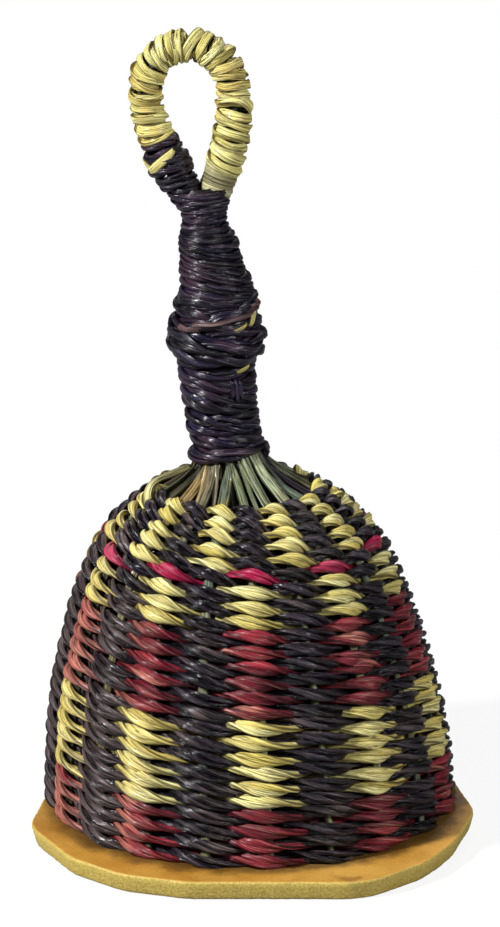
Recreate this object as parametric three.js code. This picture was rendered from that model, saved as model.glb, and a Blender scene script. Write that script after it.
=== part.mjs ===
// A caxixi: a closed basket rattle, twined over cane stakes that stand in a flat base disc. Above the
// basket the stakes gather into a bound grip, a finger loop of bent canes grows out of the grip, and
// loose seeds lie on the disc inside. Millimetres, +Z up, front towards -Y. The origin is the middle of
// the disc's underside.
import * as THREE from "three";

// Gap between neighbouring pieces, and between the turns of a binding
const CLEARANCE = 0.3;
const TURN_GAP = 0.55;

// Base disc, trimmed by straight knife cuts: bearing of each cut in degrees, overhang past the stakes.
// The knife slants, so the underside is smaller than the top.
const DISC_THICKNESS = 5.5;
const DISC_UNDERCUT = 1.5;
const DISC_CORNER_RADIUS = 18;
const DISC_CUTS = [
  [-90, 12.1],
  [-43.5, 13.8],
  [-29.7, 10.4],
  [-18.5, 8.8],
  [11, 4.1],
  [30, 6.5],
  [59, 10.6],
  [90, 11.6],
  [121, 10.4],
  [150, 6.6],
  [172, 4],
  [-152.7, 12.3],
  [-131, 15],
  [-108, 14.4],
];

// Stakes: thin canes on a circle, every one of them in a hole of the disc
const STAKE_COUNT = 20;
const STAKE_DIAMETER = 2.2;
const STAKE_RECESS = 0.5;
const FIRST_STAKE_BEARING = -84.7;

// Basket wall, measured at the middle of the stakes
const BASKET_RADIUS = 54.2;
const BELLY_DRAFT = 0.8;
const BELLY_HEIGHT = 36;
const SHOULDER_RADIUS = 40.2;
const SHOULDER_HEIGHT = 68.2;
const CROWN_ROUNDING = 12;
const CROWN_HEIGHT = 21;
const MOUTH_RADIUS = 20.2;

// Weft: twined rows from the bottom up, in bands of one colour
const WEFT_SKIN = 0.45;
const FLOAT_RELIEF = 1;
const ROWS_PER_STATION = 3;
const WEFT_BANDS = [
  { name: "weft_red_lower", rows: 4, colour: 0xa8283c },
  { name: "weft_yellow_lower", rows: 6, colour: 0xd9c56a },
  { name: "weft_red_upper", rows: 6, colour: 0xa8283c },
  { name: "weft_yellow_upper", rows: 3, colour: 0xd9c56a },
  { name: "weft_crimson", rows: 1, colour: 0xbe1e5a },
  { name: "weft_yellow_crown", rows: 5, colour: 0xd9c56a },
];

// Grip: the stakes gather above the mouth, and end at two lengths inside the binding
const NECK_RISE = 8.5;
const GATHER_LENGTH = 9;
const BUNDLE_GAP = 0.4;
const LEG_SOCKET_HEIGHT = 16;
const SHORT_STAKE_LENGTH = 38;
const LONG_STAKE_EXTRA = 11;

// Finger loop: bent canes whose legs run down into the grip
const LEG_LENGTH = 44;
const LOOP_HEIGHT = 45.7;
const LOOP_WIDTH = 24.6;
const LOOP_POINTEDNESS = 1.5;
const CANES_IN_LOOP = 3;

// Lean: how far the middle of the piece lies towards -X, from the disc up to the top of the loop
const DISC_SHIFT = 0.6;
const SHOULDER_SHIFT = 3.6;
const MOUTH_SHIFT = 4;
const GATHER_SHIFT = 8;
const SOCKET_SHIFT = 9.9;
const SHORT_STAKE_SHIFT = 10.1;
const PARTING_SHIFT = 13.5;
const LOOP_TOP_SHIFT = 17.4;

// Bindings: straw wound round the grip, its bulge and the loop
const GRIP_STRAND = 2.5;
const GRIP_START = 2.6;
const GRIP_PAST_PARTING = 5.5;
const BULGE_STRAND = 2.5;
const BULGE_START = 22;
const BULGE_LENGTH = 22.5;
const LOOP_STRIP_WIDTH = 1.9;
const LOOP_STRIP_THICKNESS = 1.4;
const LEG_STRAND = 2.2;
const LEG_WRAP_START = 10.5;
const LEG_WRAP_LENGTH = 11.5;

// Rattle seeds, scattered over the disc
const SEED_COUNT = 12;
const SEED_LENGTH = 11;
const SEED_WIDTH = 8;
const SEED_THICKNESS = 7;
const SEED_WALL_GAP = 5;

// Facets: sides of canes and strands, steps in a turn of a binding, stations along a cane, seed rings, and
// segments in a corner of the disc
const CANE_SIDES = 6;
const STRAND_SIDES = 5;
const GRIP_STEPS = 10;
const LOOP_STEPS = 9;
const GATHER_STEPS = 5;
const LOOP_STATIONS = 20;
const STATION_SPACING = 14;
const SEED_RINGS = 6;
const SEED_SEGMENTS = 8;
const CORNER_SEGMENTS = 4;

function material(color, roughness = 0.6) {
  return new THREE.MeshStandardMaterial({ color, roughness, metalness: 0 });
}

const gourd = material(0xb98a45, 0.55);
const cane = material(0x8c956a);
const darkStraw = material(0x352d37, 0.45);
const yellowStraw = material(0xdcc878);
const seedCoat = material(0x5a3320, 0.35);

const caxixi = new THREE.Group();

function addPiece(name, geometry, look) {
  const piece = new THREE.Mesh(geometry, look);
  piece.name = name;
  caxixi.add(piece);
  return piece;
}

const numbered = (name, index) => `${name}_${String(index + 1).padStart(2, "0")}`;

// Heights of the stacked sections
const discTop = DISC_THICKNESS;
const shoulderZ = discTop + SHOULDER_HEIGHT;
const mouthZ = shoulderZ + CROWN_HEIGHT;
const neckZ = mouthZ + NECK_RISE;
const gatherZ = neckZ + GATHER_LENGTH;
const socketZ = gatherZ + LEG_SOCKET_HEIGHT;
const shortEndZ = gatherZ + SHORT_STAKE_LENGTH;
const longEndZ = shortEndZ + LONG_STAKE_EXTRA;
const partingZ = socketZ + LEG_LENGTH;

// The middle of the basket, grip and loop leans in a smooth line through the shifts at these heights
const leanStations = [
  [discTop, DISC_SHIFT],
  [shoulderZ, SHOULDER_SHIFT],
  [mouthZ, MOUTH_SHIFT],
  [gatherZ, GATHER_SHIFT],
  [socketZ, SOCKET_SHIFT],
  [shortEndZ, SHORT_STAKE_SHIFT],
  [partingZ, PARTING_SHIFT],
  [partingZ + LOOP_HEIGHT, LOOP_TOP_SHIFT],
];
const leanHeights = leanStations.map(([height]) => height);
const leanShifts = leanStations.map(([, shift]) => shift);
const lean = new THREE.CubicInterpolant(leanHeights, leanShifts, 1, new Float64Array(1));
const axisX = (z) => -lean.evaluate(z)[0];

function around(angle, radius, z, side = 0) {
  const x = axisX(z) + radius * Math.cos(angle) - side * Math.sin(angle);
  return new THREE.Vector3(x, radius * Math.sin(angle) + side * Math.cos(angle), z);
}

// A curve that is sampled at its own points, so that a swept cane bends exactly there
class StationPath extends THREE.CatmullRomCurve3 {
  getPointAt(u, target) {
    return this.getPoint(u, target);
  }

  getTangentAt(u, target) {
    return this.getTangent(u, target);
  }
}

function polygon(sides, radius, centre = new THREE.Vector2()) {
  return Array.from({ length: sides }, (_, i) => {
    const angle = (2 * Math.PI * i) / sides;
    return new THREE.Vector2(radius * Math.cos(angle), radius * Math.sin(angle)).add(centre);
  });
}

const stakeRadius = STAKE_DIAMETER / 2;
const stakePitch = STAKE_DIAMETER + BUNDLE_GAP;

function caneAlong(points) {
  const section = new THREE.Shape(polygon(CANE_SIDES, stakeRadius));
  const extrudePath = new StationPath(points, false, "centripetal");
  return new THREE.ExtrudeGeometry(section, { extrudePath, steps: points.length - 1 });
}

// Base disc with a hole for every stake
const firstAngle = THREE.MathUtils.degToRad(FIRST_STAKE_BEARING);
const stakeAngle = (index) => firstAngle + (2 * Math.PI * index) / STAKE_COUNT;

function cutCorners() {
  const cuts = DISC_CUTS.map(([bearing, overhang]) => {
    const angle = THREE.MathUtils.degToRad(bearing);
    return { x: Math.cos(angle), y: Math.sin(angle), reach: BASKET_RADIUS + overhang };
  });
  return cuts.map((a, i) => {
    const b = cuts[(i + 1) % cuts.length];
    const cross = a.x * b.y - a.y * b.x;
    const x = (a.reach * b.y - b.reach * a.y) / cross;
    return new THREE.Vector2(x, (a.x * b.reach - b.x * a.reach) / cross);
  });
}

function roundedOutline(corners) {
  const outline = new THREE.Shape();
  corners.forEach((corner, i) => {
    const before = corners.at(i - 1).clone().sub(corner);
    const after = corners[(i + 1) % corners.length].clone().sub(corner);
    const halfTurn = (Math.PI - Math.abs(before.angleTo(after))) / 2;
    const room = Math.min(before.length(), after.length()) / 2;
    const trim = Math.min(DISC_CORNER_RADIUS * Math.tan(halfTurn), room);
    const start = before.setLength(trim).add(corner);
    const end = after.setLength(trim).add(corner);
    if (i === 0) {
      outline.moveTo(start.x, start.y);
    } else {
      outline.lineTo(start.x, start.y);
    }
    outline.quadraticCurveTo(corner.x, corner.y, end.x, end.y);
  });
  outline.closePath();
  return outline;
}

function baseDisc() {
  const corners = cutCorners();
  const box = new THREE.Box2().setFromPoints(roundedOutline(corners).getPoints());
  const middle = box.getCenter(new THREE.Vector2());
  const outline = roundedOutline(corners.map((corner) => corner.clone().sub(middle)));
  const holeRadius = (stakeRadius + CLEARANCE) / Math.cos(Math.PI / CANE_SIDES);
  const feet = Array.from({ length: STAKE_COUNT }, (_, i) => around(stakeAngle(i), BASKET_RADIUS, 0));
  outline.holes = feet.map((foot) => new THREE.Path(polygon(CANE_SIDES, holeRadius, foot)));
  const cut = { depth: DISC_THICKNESS, bevelEnabled: false, curveSegments: CORNER_SEGMENTS };
  const disc = new THREE.ExtrudeGeometry(outline, cut);
  const position = disc.getAttribute("position");
  for (let i = 0; i < position.count; i += 1) {
    const corner = new THREE.Vector3().fromBufferAttribute(position, i);
    const toHole = Math.min(...feet.map((foot) => Math.hypot(corner.x - foot.x, corner.y - foot.y)));
    if (corner.z === 0 && toHole > holeRadius + CLEARANCE) {
      position.setXYZ(i, ...corner.setLength(corner.length() - DISC_UNDERCUT));
    }
  }
  disc.computeVertexNormals();
  return disc;
}

addPiece("base_disc", baseDisc(), gourd);

// Basket wall: the profile that the stakes follow, and points beside it
const wall = new THREE.CurvePath();
const foot = new THREE.Vector2(BASKET_RADIUS, discTop);
const belly = new THREE.Vector2(BASKET_RADIUS - BELLY_DRAFT, discTop + BELLY_HEIGHT);
const shoulder = new THREE.Vector2(SHOULDER_RADIUS, shoulderZ);
const crown = shoulder.clone().sub(belly).setLength(CROWN_ROUNDING).add(shoulder);
const mouth = new THREE.Vector2(MOUTH_RADIUS, mouthZ);
wall.add(new THREE.QuadraticBezierCurve(foot, belly, shoulder));
wall.add(new THREE.QuadraticBezierCurve(shoulder, crown, mouth));

const rowCount = WEFT_BANDS.reduce((sum, band) => sum + band.rows, 0);
const levelCount = 2 * rowCount;

// A level is half a row. Outward and upward shift a point square to and along the wall.
function wallPoint(stake, level, outward = 0, side = 0, upward = 0) {
  const u = level / levelCount;
  const middle = wall.getPoint(u);
  const tangent = wall.getTangent(u);
  const radius = middle.x + outward * tangent.y + upward * tangent.x;
  return around(stakeAngle(stake), radius, middle.y - outward * tangent.x + upward * tangent.y, side);
}

function bandLevels(firstRow, rows) {
  const steps = Math.ceil(rows / ROWS_PER_STATION);
  return Array.from({ length: steps + 1 }, (_, i) => 2 * (firstRow + (rows * i) / steps));
}

let nextRow = 0;
const bands = WEFT_BANDS.map((band) => {
  const levels = bandLevels(nextRow, band.rows);
  nextRow += band.rows;
  return { ...band, levels };
});

// Indexed triangles of a hand-built closed surface
class Surface {
  points = [];

  triangles = [];

  addPoint(point) {
    this.points.push(point);
    return this.points.length - 1;
  }

  addTriangle(a, b, c) {
    this.triangles.push(a, b, c);
  }

  addQuad(a, b, c, d) {
    this.triangles.push(a, b, c, a, c, d);
  }

  geometry() {
    const geometry = new THREE.BufferGeometry().setFromPoints(this.points);
    geometry.setIndex(this.triangles);
    geometry.computeVertexNormals();
    return geometry;
  }
}

// A band of twined rows is a ring with an eye for every stake. Outside, each float over a stake is a long
// diamond that stands out most over the stake. Two strands twist about each other on their way round, so the
// left end of a float lies between two stakes at the top of its row, and the right end at the bottom.
const eye = (stakeRadius + CLEARANCE) * Math.SQRT2;
const valley = eye + WEFT_SKIN;
const crest = valley + FLOAT_RELIEF;

function weftBand(levels) {
  const surface = new Surface();
  const first = levels[0];
  const last = levels.at(-1);
  const inset = (level) => (level === first ? CLEARANCE / 2 : 0) - (level === last ? CLEARANCE / 2 : 0);
  const ring = (level, outward, side = 0, pastStake = 0) =>
    Array.from({ length: STAKE_COUNT }, (_, stake) =>
      surface.addPoint(wallPoint(stake + pastStake, level, outward, side, inset(level))),
    );
  const after = (stake) => (stake + 1) % STAKE_COUNT;
  const rows = (last - first) / 2;
  const reach = (i) => (i % 2 === 1 ? crest : valley);
  const overStakes = Array.from({ length: 2 * rows + 1 }, (_, i) => ring(first + i, reach(i)));
  const floatEnds = Array.from({ length: rows + 1 }, (_, i) => ring(first + 2 * i, eye, 0, 1 / 2));
  const sections = levels.map((level) => ({
    inner: ring(level, -valley),
    back: ring(level, -eye),
    left: ring(level, 0, -eye),
    right: ring(level, 0, eye),
    front: ring(level, eye),
  }));

  for (let row = 0; row < rows; row += 1) {
    const [low, middle, high] = overStakes.slice(2 * row, 2 * row + 3);
    for (let stake = 0; stake < STAKE_COUNT; stake += 1) {
      const next = after(stake);
      const rightEnd = floatEnds[row][stake];
      const leftEnd = floatEnds[row + 1][stake];
      surface.addQuad(rightEnd, high[stake], middle[stake], low[stake]);
      surface.addQuad(rightEnd, low[next], leftEnd, high[stake]);
      surface.addQuad(leftEnd, low[next], middle[next], high[next]);
    }
  }
  for (let i = 0; i + 1 < sections.length; i += 1) {
    const low = sections[i];
    const high = sections[i + 1];
    for (let stake = 0; stake < STAKE_COUNT; stake += 1) {
      const next = after(stake);
      surface.addQuad(low.inner[stake], high.inner[stake], high.inner[next], low.inner[next]);
      const sides = ["front", "right", "back", "left", "front"];
      for (let j = 0; j + 1 < sides.length; j += 1) {
        const a = sides[j];
        const b = sides[j + 1];
        surface.addQuad(low[a][stake], high[a][stake], high[b][stake], low[b][stake]);
      }
    }
  }
  const closeEnd = (edge, ends, { front, right, back, left, inner }, flip) => {
    const quad = (a, b, c, d) => (flip ? surface.addQuad(a, d, c, b) : surface.addQuad(a, b, c, d));
    for (let stake = 0; stake < STAKE_COUNT; stake += 1) {
      const next = after(stake);
      quad(edge[stake], ends[stake], front[next], front[stake]);
      surface.addTriangle(...(flip ? [front[next], edge[next]] : [edge[next], front[next]]), ends[stake]);
      quad(front[stake], front[next], left[next], right[stake]);
      quad(right[stake], left[next], back[next], back[stake]);
      quad(back[stake], back[next], inner[next], inner[stake]);
    }
  };
  closeEnd(overStakes[0], floatEnds[0], sections[0], true);
  closeEnd(overStakes.at(-1), floatEnds.at(-1), sections.at(-1), false);
  return surface.geometry();
}

for (const band of bands) {
  addPiece(band.name, weftBand(band.levels), material(band.colour));
}

// Stakes: some of them gather into an inner ring under the loop's legs, the others into a ring round them
const innerCount = 2 * CANES_IN_LOOP;
const outerCount = STAKE_COUNT - innerCount;
const innerRing = stakePitch;
const outerRing = Math.max(stakePitch / (2 * Math.sin(Math.PI / outerCount)), 2 * stakePitch);
const innerBefore = (stake) => Math.floor((stake * innerCount) / STAKE_COUNT);
const isInner = (stake) => innerBefore(stake + 1) > innerBefore(stake);
const allStakes = Array.from({ length: STAKE_COUNT }, (_, i) => i);

// Evenly spaced bearings in a ring for the stakes that gather there, turned as little as possible
function ringAngles(members) {
  const step = (2 * Math.PI) / members.length;
  const turned = members.reduce((sum, stake, rank) => sum + stakeAngle(stake) - rank * step, 0);
  const drift = turned / members.length;
  return new Map(members.map((stake, rank) => [stake, drift + rank * step]));
}

const innerAngles = ringAngles(allStakes.filter(isInner));
const outerAngles = ringAngles(allStakes.filter((stake) => !isInner(stake)));
const outerRank = [...outerAngles.keys()];
const wallStations = [...new Set(bands.flatMap((band) => band.levels))];

function gather(ring) {
  const neck = new THREE.Vector2(ring, neckZ);
  return new THREE.QuadraticBezierCurve(mouth, neck, new THREE.Vector2(ring, gatherZ));
}

// Long stakes close up on the loop's legs towards their upper ends
function longRing(z) {
  return THREE.MathUtils.mapLinear(Math.max(z, shortEndZ), shortEndZ, longEndZ, outerRing, 2 * stakePitch);
}

function stakePoints(stake) {
  const inner = isInner(stake);
  const ring = inner ? innerRing : outerRing;
  const gathered = (inner ? innerAngles : outerAngles).get(stake);
  const isLong = !inner && outerRank.indexOf(stake) % 2 === 1;
  const points = [around(stakeAngle(stake), BASKET_RADIUS, STAKE_RECESS)];
  points.push(...wallStations.map((level) => wallPoint(stake, level)));
  const curve = gather(ring);
  for (let step = 1; step <= GATHER_STEPS; step += 1) {
    const t = step / GATHER_STEPS;
    const place = curve.getPoint(t);
    const angle = THREE.MathUtils.lerp(stakeAngle(stake), gathered, THREE.MathUtils.smoothstep(t, 0, 1));
    points.push(around(angle, place.x, place.y));
  }
  const ends = inner ? [socketZ - CLEARANCE] : [shortEndZ];
  if (isLong) {
    ends.push(longEndZ);
  }
  for (const end of ends) {
    const from = points.at(-1).z;
    const steps = Math.ceil((end - from) / STATION_SPACING);
    for (let step = 1; step <= steps; step += 1) {
      const z = from + ((end - from) * step) / steps;
      points.push(around(gathered, isLong ? longRing(z) : ring, z));
    }
  }
  return points;
}

allStakes.forEach((stake) => addPiece(numbered("stake", stake), caneAlong(stakePoints(stake)), cane));

// Finger loop: the middle line of the three canes, a leaning teardrop from one leg round to the other
const legOffset = (2 * stakePitch) / 3;
const loopHalfWidth = LOOP_WIDTH / 2 - legOffset / 2;
const fullestSine = Math.sqrt((LOOP_POINTEDNESS + 1) / (LOOP_POINTEDNESS + 2));
const fullest = 2 * fullestSine ** (LOOP_POINTEDNESS + 1) * Math.sqrt(1 - fullestSine ** 2);

class LoopLine extends THREE.Curve {
  getPoint(t, target = new THREE.Vector3()) {
    const turn = 2 * Math.PI * t;
    const fullness = Math.sin(turn) * Math.sin(turn / 2) ** LOOP_POINTEDNESS;
    const z = partingZ + (LOOP_HEIGHT * (1 - Math.cos(turn))) / 2;
    const x = axisX(z) - (loopHalfWidth / fullest) * fullness - legOffset * Math.cos(turn / 2);
    return target.set(x, 0, z);
  }
}

const loopLine = new LoopLine();
const loopLength = loopLine.getLength();

function loopFrame(u) {
  const tangent = loopLine.getTangentAt(u);
  return { centre: loopLine.getPointAt(u), outward: new THREE.Vector3(-tangent.z, 0, tangent.x) };
}

// In the grip the six legs share a ring. Above the parting each three of them close up to a triangle.
const TRIANGLE_BLEND = 0.12;

function canePlace(cane, u) {
  const { centre, outward } = loopFrame(u);
  const blend = THREE.MathUtils.smoothstep(Math.min(u, 1 - u), 0, TRIANGLE_BLEND);
  const spread = cane === 0 ? [1 / 3, 1 / Math.sqrt(3)] : [-1 / 6, -1 / (2 * Math.sqrt(3))];
  const sideways = cane === 0 ? [0, 0] : [Math.sqrt(3) / 2, 1 / 2];
  const side = cane === 1 ? 1 : -1;
  const place = centre.addScaledVector(outward, stakePitch * THREE.MathUtils.lerp(...spread, blend));
  place.y += side * stakePitch * THREE.MathUtils.lerp(...sideways, blend);
  return place;
}

function loopCanePoints(cane) {
  const bend = Array.from({ length: LOOP_STATIONS + 1 }, (_, i) => canePlace(cane, i / LOOP_STATIONS));
  const leg = (top) => {
    const steps = Math.ceil(LEG_LENGTH / STATION_SPACING);
    return Array.from({ length: steps }, (_, i) => {
      const z = partingZ - (LEG_LENGTH * (i + 1)) / steps;
      return new THREE.Vector3(top.x - axisX(partingZ) + axisX(z), top.y, z);
    });
  };
  return [...leg(bend[0]).reverse(), ...bend, ...leg(bend.at(-1))];
}

const loopCanes = Array.from({ length: CANES_IN_LOOP }, (_, i) => loopCanePoints(i));
loopCanes.forEach((points, i) => addPiece(numbered("loop_cane", i), caneAlong(points), cane));

// A strand is swept along its points with its thickness square to the surface that it is wound on
function strandAlong(path, width, thickness) {
  const surface = new Surface();
  const rings = path.map(({ point, normal }, i) => {
    const before = path[Math.max(0, i - 1)].point;
    const after = path[Math.min(path.length - 1, i + 1)].point;
    const along = after.clone().sub(before).normalize();
    const out = normal.clone().addScaledVector(along, -normal.dot(along)).normalize();
    const across = along.clone().cross(out);
    return polygon(STRAND_SIDES, 0.5).map((corner) => {
      const place = point.clone().addScaledVector(out, corner.x * thickness);
      return surface.addPoint(place.addScaledVector(across, corner.y * width));
    });
  });
  for (let i = 0; i + 1 < rings.length; i += 1) {
    rings[i].forEach((corner, j) => {
      const next = (j + 1) % STRAND_SIDES;
      surface.addQuad(corner, rings[i][next], rings[i + 1][next], rings[i + 1][j]);
    });
  }
  for (let j = 1; j + 1 < STRAND_SIDES; j += 1) {
    surface.addTriangle(rings[0][0], rings[0][j + 1], rings[0][j]);
    surface.addTriangle(rings.at(-1)[0], rings.at(-1)[j], rings.at(-1)[j + 1]);
  }
  return surface.geometry();
}

// Least distance between a strand's points more than half a turn apart, less the strand itself
function leastGap(path, stepsPerTurn, width) {
  let least = Infinity;
  path.forEach(({ point }, i) => {
    for (let j = i + Math.ceil(stepsPerTurn / 2); j < path.length; j += 1) {
      least = Math.min(least, point.distanceTo(path[j].point));
    }
  });
  return least - width;
}

function addBinding(name, path, stepsPerTurn, width, thickness, look) {
  console.log(`${name}: least gap to itself ${leastGap(path, stepsPerTurn, width).toFixed(2)} mm`);
  return addPiece(name, strandAlong(path, width, thickness), look);
}

// What the grip binding lies on: middle lines of the outermost canes, as radius and height
const outerLine = gather(outerRing).getPoints(8 * GATHER_STEPS);
for (let z = gatherZ; z <= longEndZ; z += stakeRadius / 2) {
  outerLine.push(new THREE.Vector2(longRing(z), z));
}
const legLine = loopCanes[0]
  .filter((point, i) => i < loopCanes[0].length / 2 && point.z < partingZ + LOOP_HEIGHT / 2)
  .map((point) => new THREE.Vector2(axisX(point.z) - point.x, point.z));
const legCurve = new THREE.SplineCurve(legLine);
const legPoints = legCurve.getPoints(200);
const coreLine = [...outerLine, ...legPoints];
const ringLine = [...outerLine, ...legPoints.map((place) => new THREE.Vector2(innerRing, place.y))];

// Radius at which a strand of this reach rolls on the canes at height z
function rollingRadius(line, z, reach) {
  return line.reduce((radius, place) => {
    const drop = reach ** 2 - (z - place.y) ** 2;
    return drop > 0 ? Math.max(radius, place.x + Math.sqrt(drop)) : radius;
  }, 0);
}

const chordAllowance = 1 / Math.cos(Math.PI / GRIP_STEPS);
const PARTED_DEPTH = 0.62;

// Half widths of the grip binding at height z, or of a second layer wound on it
function gripRadii(z, layer = 0) {
  const reach = stakeRadius + CLEARANCE + GRIP_STRAND / 2;
  const [wide, deep] = [coreLine, ringLine].map((line) => {
    const first = rollingRadius(line, z, reach) * chordAllowance;
    return layer > 0 ? (first + layer) * chordAllowance : first;
  });
  return { x: wide, y: Math.max(deep, PARTED_DEPTH * wide) };
}

function gripWinding(bottom, top, turns, layer = 0) {
  return Array.from({ length: turns * GRIP_STEPS + 1 }, (_, i) => {
    const angle = (2 * Math.PI * i) / GRIP_STEPS;
    const z = THREE.MathUtils.lerp(bottom, top, i / (turns * GRIP_STEPS));
    const radii = gripRadii(z, layer);
    const point = new THREE.Vector3(axisX(z) + radii.x * Math.cos(angle), radii.y * Math.sin(angle), z);
    const normal = new THREE.Vector3(Math.cos(angle) / radii.x, Math.sin(angle) / radii.y, 0).normalize();
    return { point, normal };
  });
}

const gripBottom = neckZ + GRIP_START;
const gripTop = partingZ + GRIP_PAST_PARTING;
const gripTurns = Math.floor((gripTop - gripBottom) / (GRIP_STRAND + TURN_GAP));
const gripPath = gripWinding(gripBottom, gripTop, gripTurns);
addBinding("grip_binding", gripPath, GRIP_STEPS, GRIP_STRAND, GRIP_STRAND, darkStraw);

const bulgeBottom = gripBottom + BULGE_START;
const bulgeTurns = Math.floor(BULGE_LENGTH / (BULGE_STRAND + TURN_GAP));
const bulgeLayer = GRIP_STRAND / 2 + CLEARANCE + BULGE_STRAND / 2;
const bulgePath = gripWinding(bulgeBottom, bulgeBottom + BULGE_LENGTH, bulgeTurns, bulgeLayer);
addBinding("bulge_binding", bulgePath, GRIP_STEPS, BULGE_STRAND, BULGE_STRAND, darkStraw);

// Smallest radius to which the loop's middle line bends between two lengths along it
function tightestBend(from, to) {
  const samples = 60;
  const step = (to - from) / samples;
  const tangents = Array.from({ length: samples + 1 }, (_, i) =>
    loopLine.getTangentAt((from + i * step) / loopLength),
  );
  return Math.min(...tangents.slice(1).map((tangent, i) => step / tangent.angleTo(tangents[i])));
}

// Windings on the loop, from one length along its middle line to another. Turns crowd inside a bend.
function loopWinding(from, to, width, thickness) {
  const core = stakePitch / Math.sqrt(3) + stakeRadius + CLEARANCE + thickness / 2;
  const radius = core / Math.cos(Math.PI / LOOP_STEPS);
  const crowding = 1 - radius / tightestBend(from, to);
  const turns = Math.floor(((to - from) * crowding) / (width + TURN_GAP));
  return Array.from({ length: turns * LOOP_STEPS + 1 }, (_, i) => {
    const angle = (2 * Math.PI * i) / LOOP_STEPS;
    const along = THREE.MathUtils.lerp(from, to, i / (turns * LOOP_STEPS));
    const { centre, outward } = loopFrame(along / loopLength);
    const normal = outward.multiplyScalar(Math.cos(angle));
    normal.y = Math.sin(angle);
    return { point: centre.addScaledVector(normal, radius), normal };
  });
}

const legWrapEnd = LEG_WRAP_START + LEG_WRAP_LENGTH;
const legPath = loopWinding(LEG_WRAP_START, legWrapEnd, LEG_STRAND, LEG_STRAND);
addBinding("leg_binding", legPath, LOOP_STEPS, LEG_STRAND, LEG_STRAND, darkStraw);

const loopStart = legWrapEnd + (LEG_STRAND + LOOP_STRIP_WIDTH) / 2 + CLEARANCE;
const loopPath = loopWinding(loopStart, loopLength - LEG_WRAP_START, LOOP_STRIP_WIDTH, LOOP_STRIP_THICKNESS);
addBinding("loop_binding", loopPath, LOOP_STEPS, LOOP_STRIP_WIDTH, LOOP_STRIP_THICKNESS, yellowStraw);

// Seeds: oval, lying on the disc in a sunflower pattern inside the wall
const GOLDEN_ANGLE = Math.PI * (3 - Math.sqrt(5));

function seed() {
  const profile = Array.from({ length: SEED_RINGS + 1 }, (_, i) => {
    const angle = (Math.PI * i) / SEED_RINGS;
    return new THREE.Vector2(Math.sin(angle) / 2, -Math.cos(angle) / 2);
  });
  profile[0].x = 0;
  profile.at(-1).x = 0;
  const body = new THREE.LatheGeometry(profile, SEED_SEGMENTS);
  return body.scale(SEED_WIDTH, SEED_LENGTH, SEED_THICKNESS);
}

const seedField = BASKET_RADIUS - valley - SEED_LENGTH / 2 - SEED_WALL_GAP;
for (let i = 0; i < SEED_COUNT; i += 1) {
  const radius = seedField * Math.sqrt((i + 0.5) / SEED_COUNT);
  const piece = addPiece(numbered("seed", i), seed(), seedCoat);
  piece.position.copy(around(i * GOLDEN_ANGLE, radius, discTop + CLEARANCE + SEED_THICKNESS / 2));
  piece.rotation.z = 2 * i * GOLDEN_ANGLE;
}

export default caxixi;
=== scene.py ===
import math

import bmesh
import bpy
import numpy as np
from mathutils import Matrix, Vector, noise


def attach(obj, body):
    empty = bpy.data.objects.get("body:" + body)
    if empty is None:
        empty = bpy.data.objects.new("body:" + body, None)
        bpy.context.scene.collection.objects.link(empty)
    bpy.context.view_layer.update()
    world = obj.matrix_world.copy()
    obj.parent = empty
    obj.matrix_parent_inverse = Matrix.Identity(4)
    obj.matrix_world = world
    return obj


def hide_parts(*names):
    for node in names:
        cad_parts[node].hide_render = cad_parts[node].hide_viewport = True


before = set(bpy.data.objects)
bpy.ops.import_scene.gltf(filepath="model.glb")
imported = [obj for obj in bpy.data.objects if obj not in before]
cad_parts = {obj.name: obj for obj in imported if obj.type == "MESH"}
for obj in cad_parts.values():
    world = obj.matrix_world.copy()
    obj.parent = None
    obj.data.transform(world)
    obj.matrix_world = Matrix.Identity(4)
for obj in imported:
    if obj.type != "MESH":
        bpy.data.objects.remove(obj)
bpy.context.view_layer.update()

# The view: the rattle is seen from the front and from a little above, through a long lens, so its
# rows of weave curve only slightly. Distances are in metres, the lens and its sensor in millimetres.
LOOK_AT = Vector((-0.00094, 0.0, 0.1021))
VIEW_DISTANCE = 1.1
VIEW_ELEVATION = math.radians(16)
SENSOR_WIDTH = 36
LENS_LENGTH = 155.9
scene = bpy.context.scene


def shown(name, data):
    """A new object in the scene."""
    made = bpy.data.objects.new(name, data)
    scene.collection.objects.link(made)
    return made


view_lens = bpy.data.cameras.new("view")
view_lens.sensor_width = SENSOR_WIDTH
view_lens.lens = LENS_LENGTH
view_camera = shown("view", view_lens)
view_direction = Vector((0, -math.cos(VIEW_ELEVATION), math.sin(VIEW_ELEVATION)))
view_camera.location = LOOK_AT + VIEW_DISTANCE * view_direction
view_camera.rotation_euler = (math.pi / 2 - VIEW_ELEVATION, 0, 0)
scene.camera = view_camera

# The table and the light: a white matt table top that runs out of sight, takes a soft shadow near the
# rattle and isn't seen from below. One strong lamp stands high on the left, a weaker one on the right
# and one behind, in a faint even surround. Places and sizes are in metres, lamps in watts.
TABLE_HALF_WIDTH = 6.0
TABLE_LEVEL = -0.0002
TABLE_WHITENESS = (0.86, 1.0)
TABLE_WHITENING = (0.12, 0.42)
TABLE_BOUNCE = 0.25
WHITE = (1, 1, 1, 1)
LAMPS = (
    ("key_lamp", (-1.4, -0.84, 1.2), 0.26, 63.0),
    ("fill_lamp", (1.1, -0.9, 0.8), 0.4, 15.0),
    ("back_lamp", (0.1, 1.2, 1.4), 0.8, 9.0),
)
SURROUND_STRENGTH = 0.05
scene.view_settings.view_transform = "Standard"


def fill(tree, node, given):
    """Sets or links inputs of a node, given by name or number as values or as sockets."""
    for label, value in given.items():
        if isinstance(value, bpy.types.NodeSocket):
            tree.links.new(value, node.inputs[label])
        else:
            node.inputs[label].default_value = value


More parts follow.
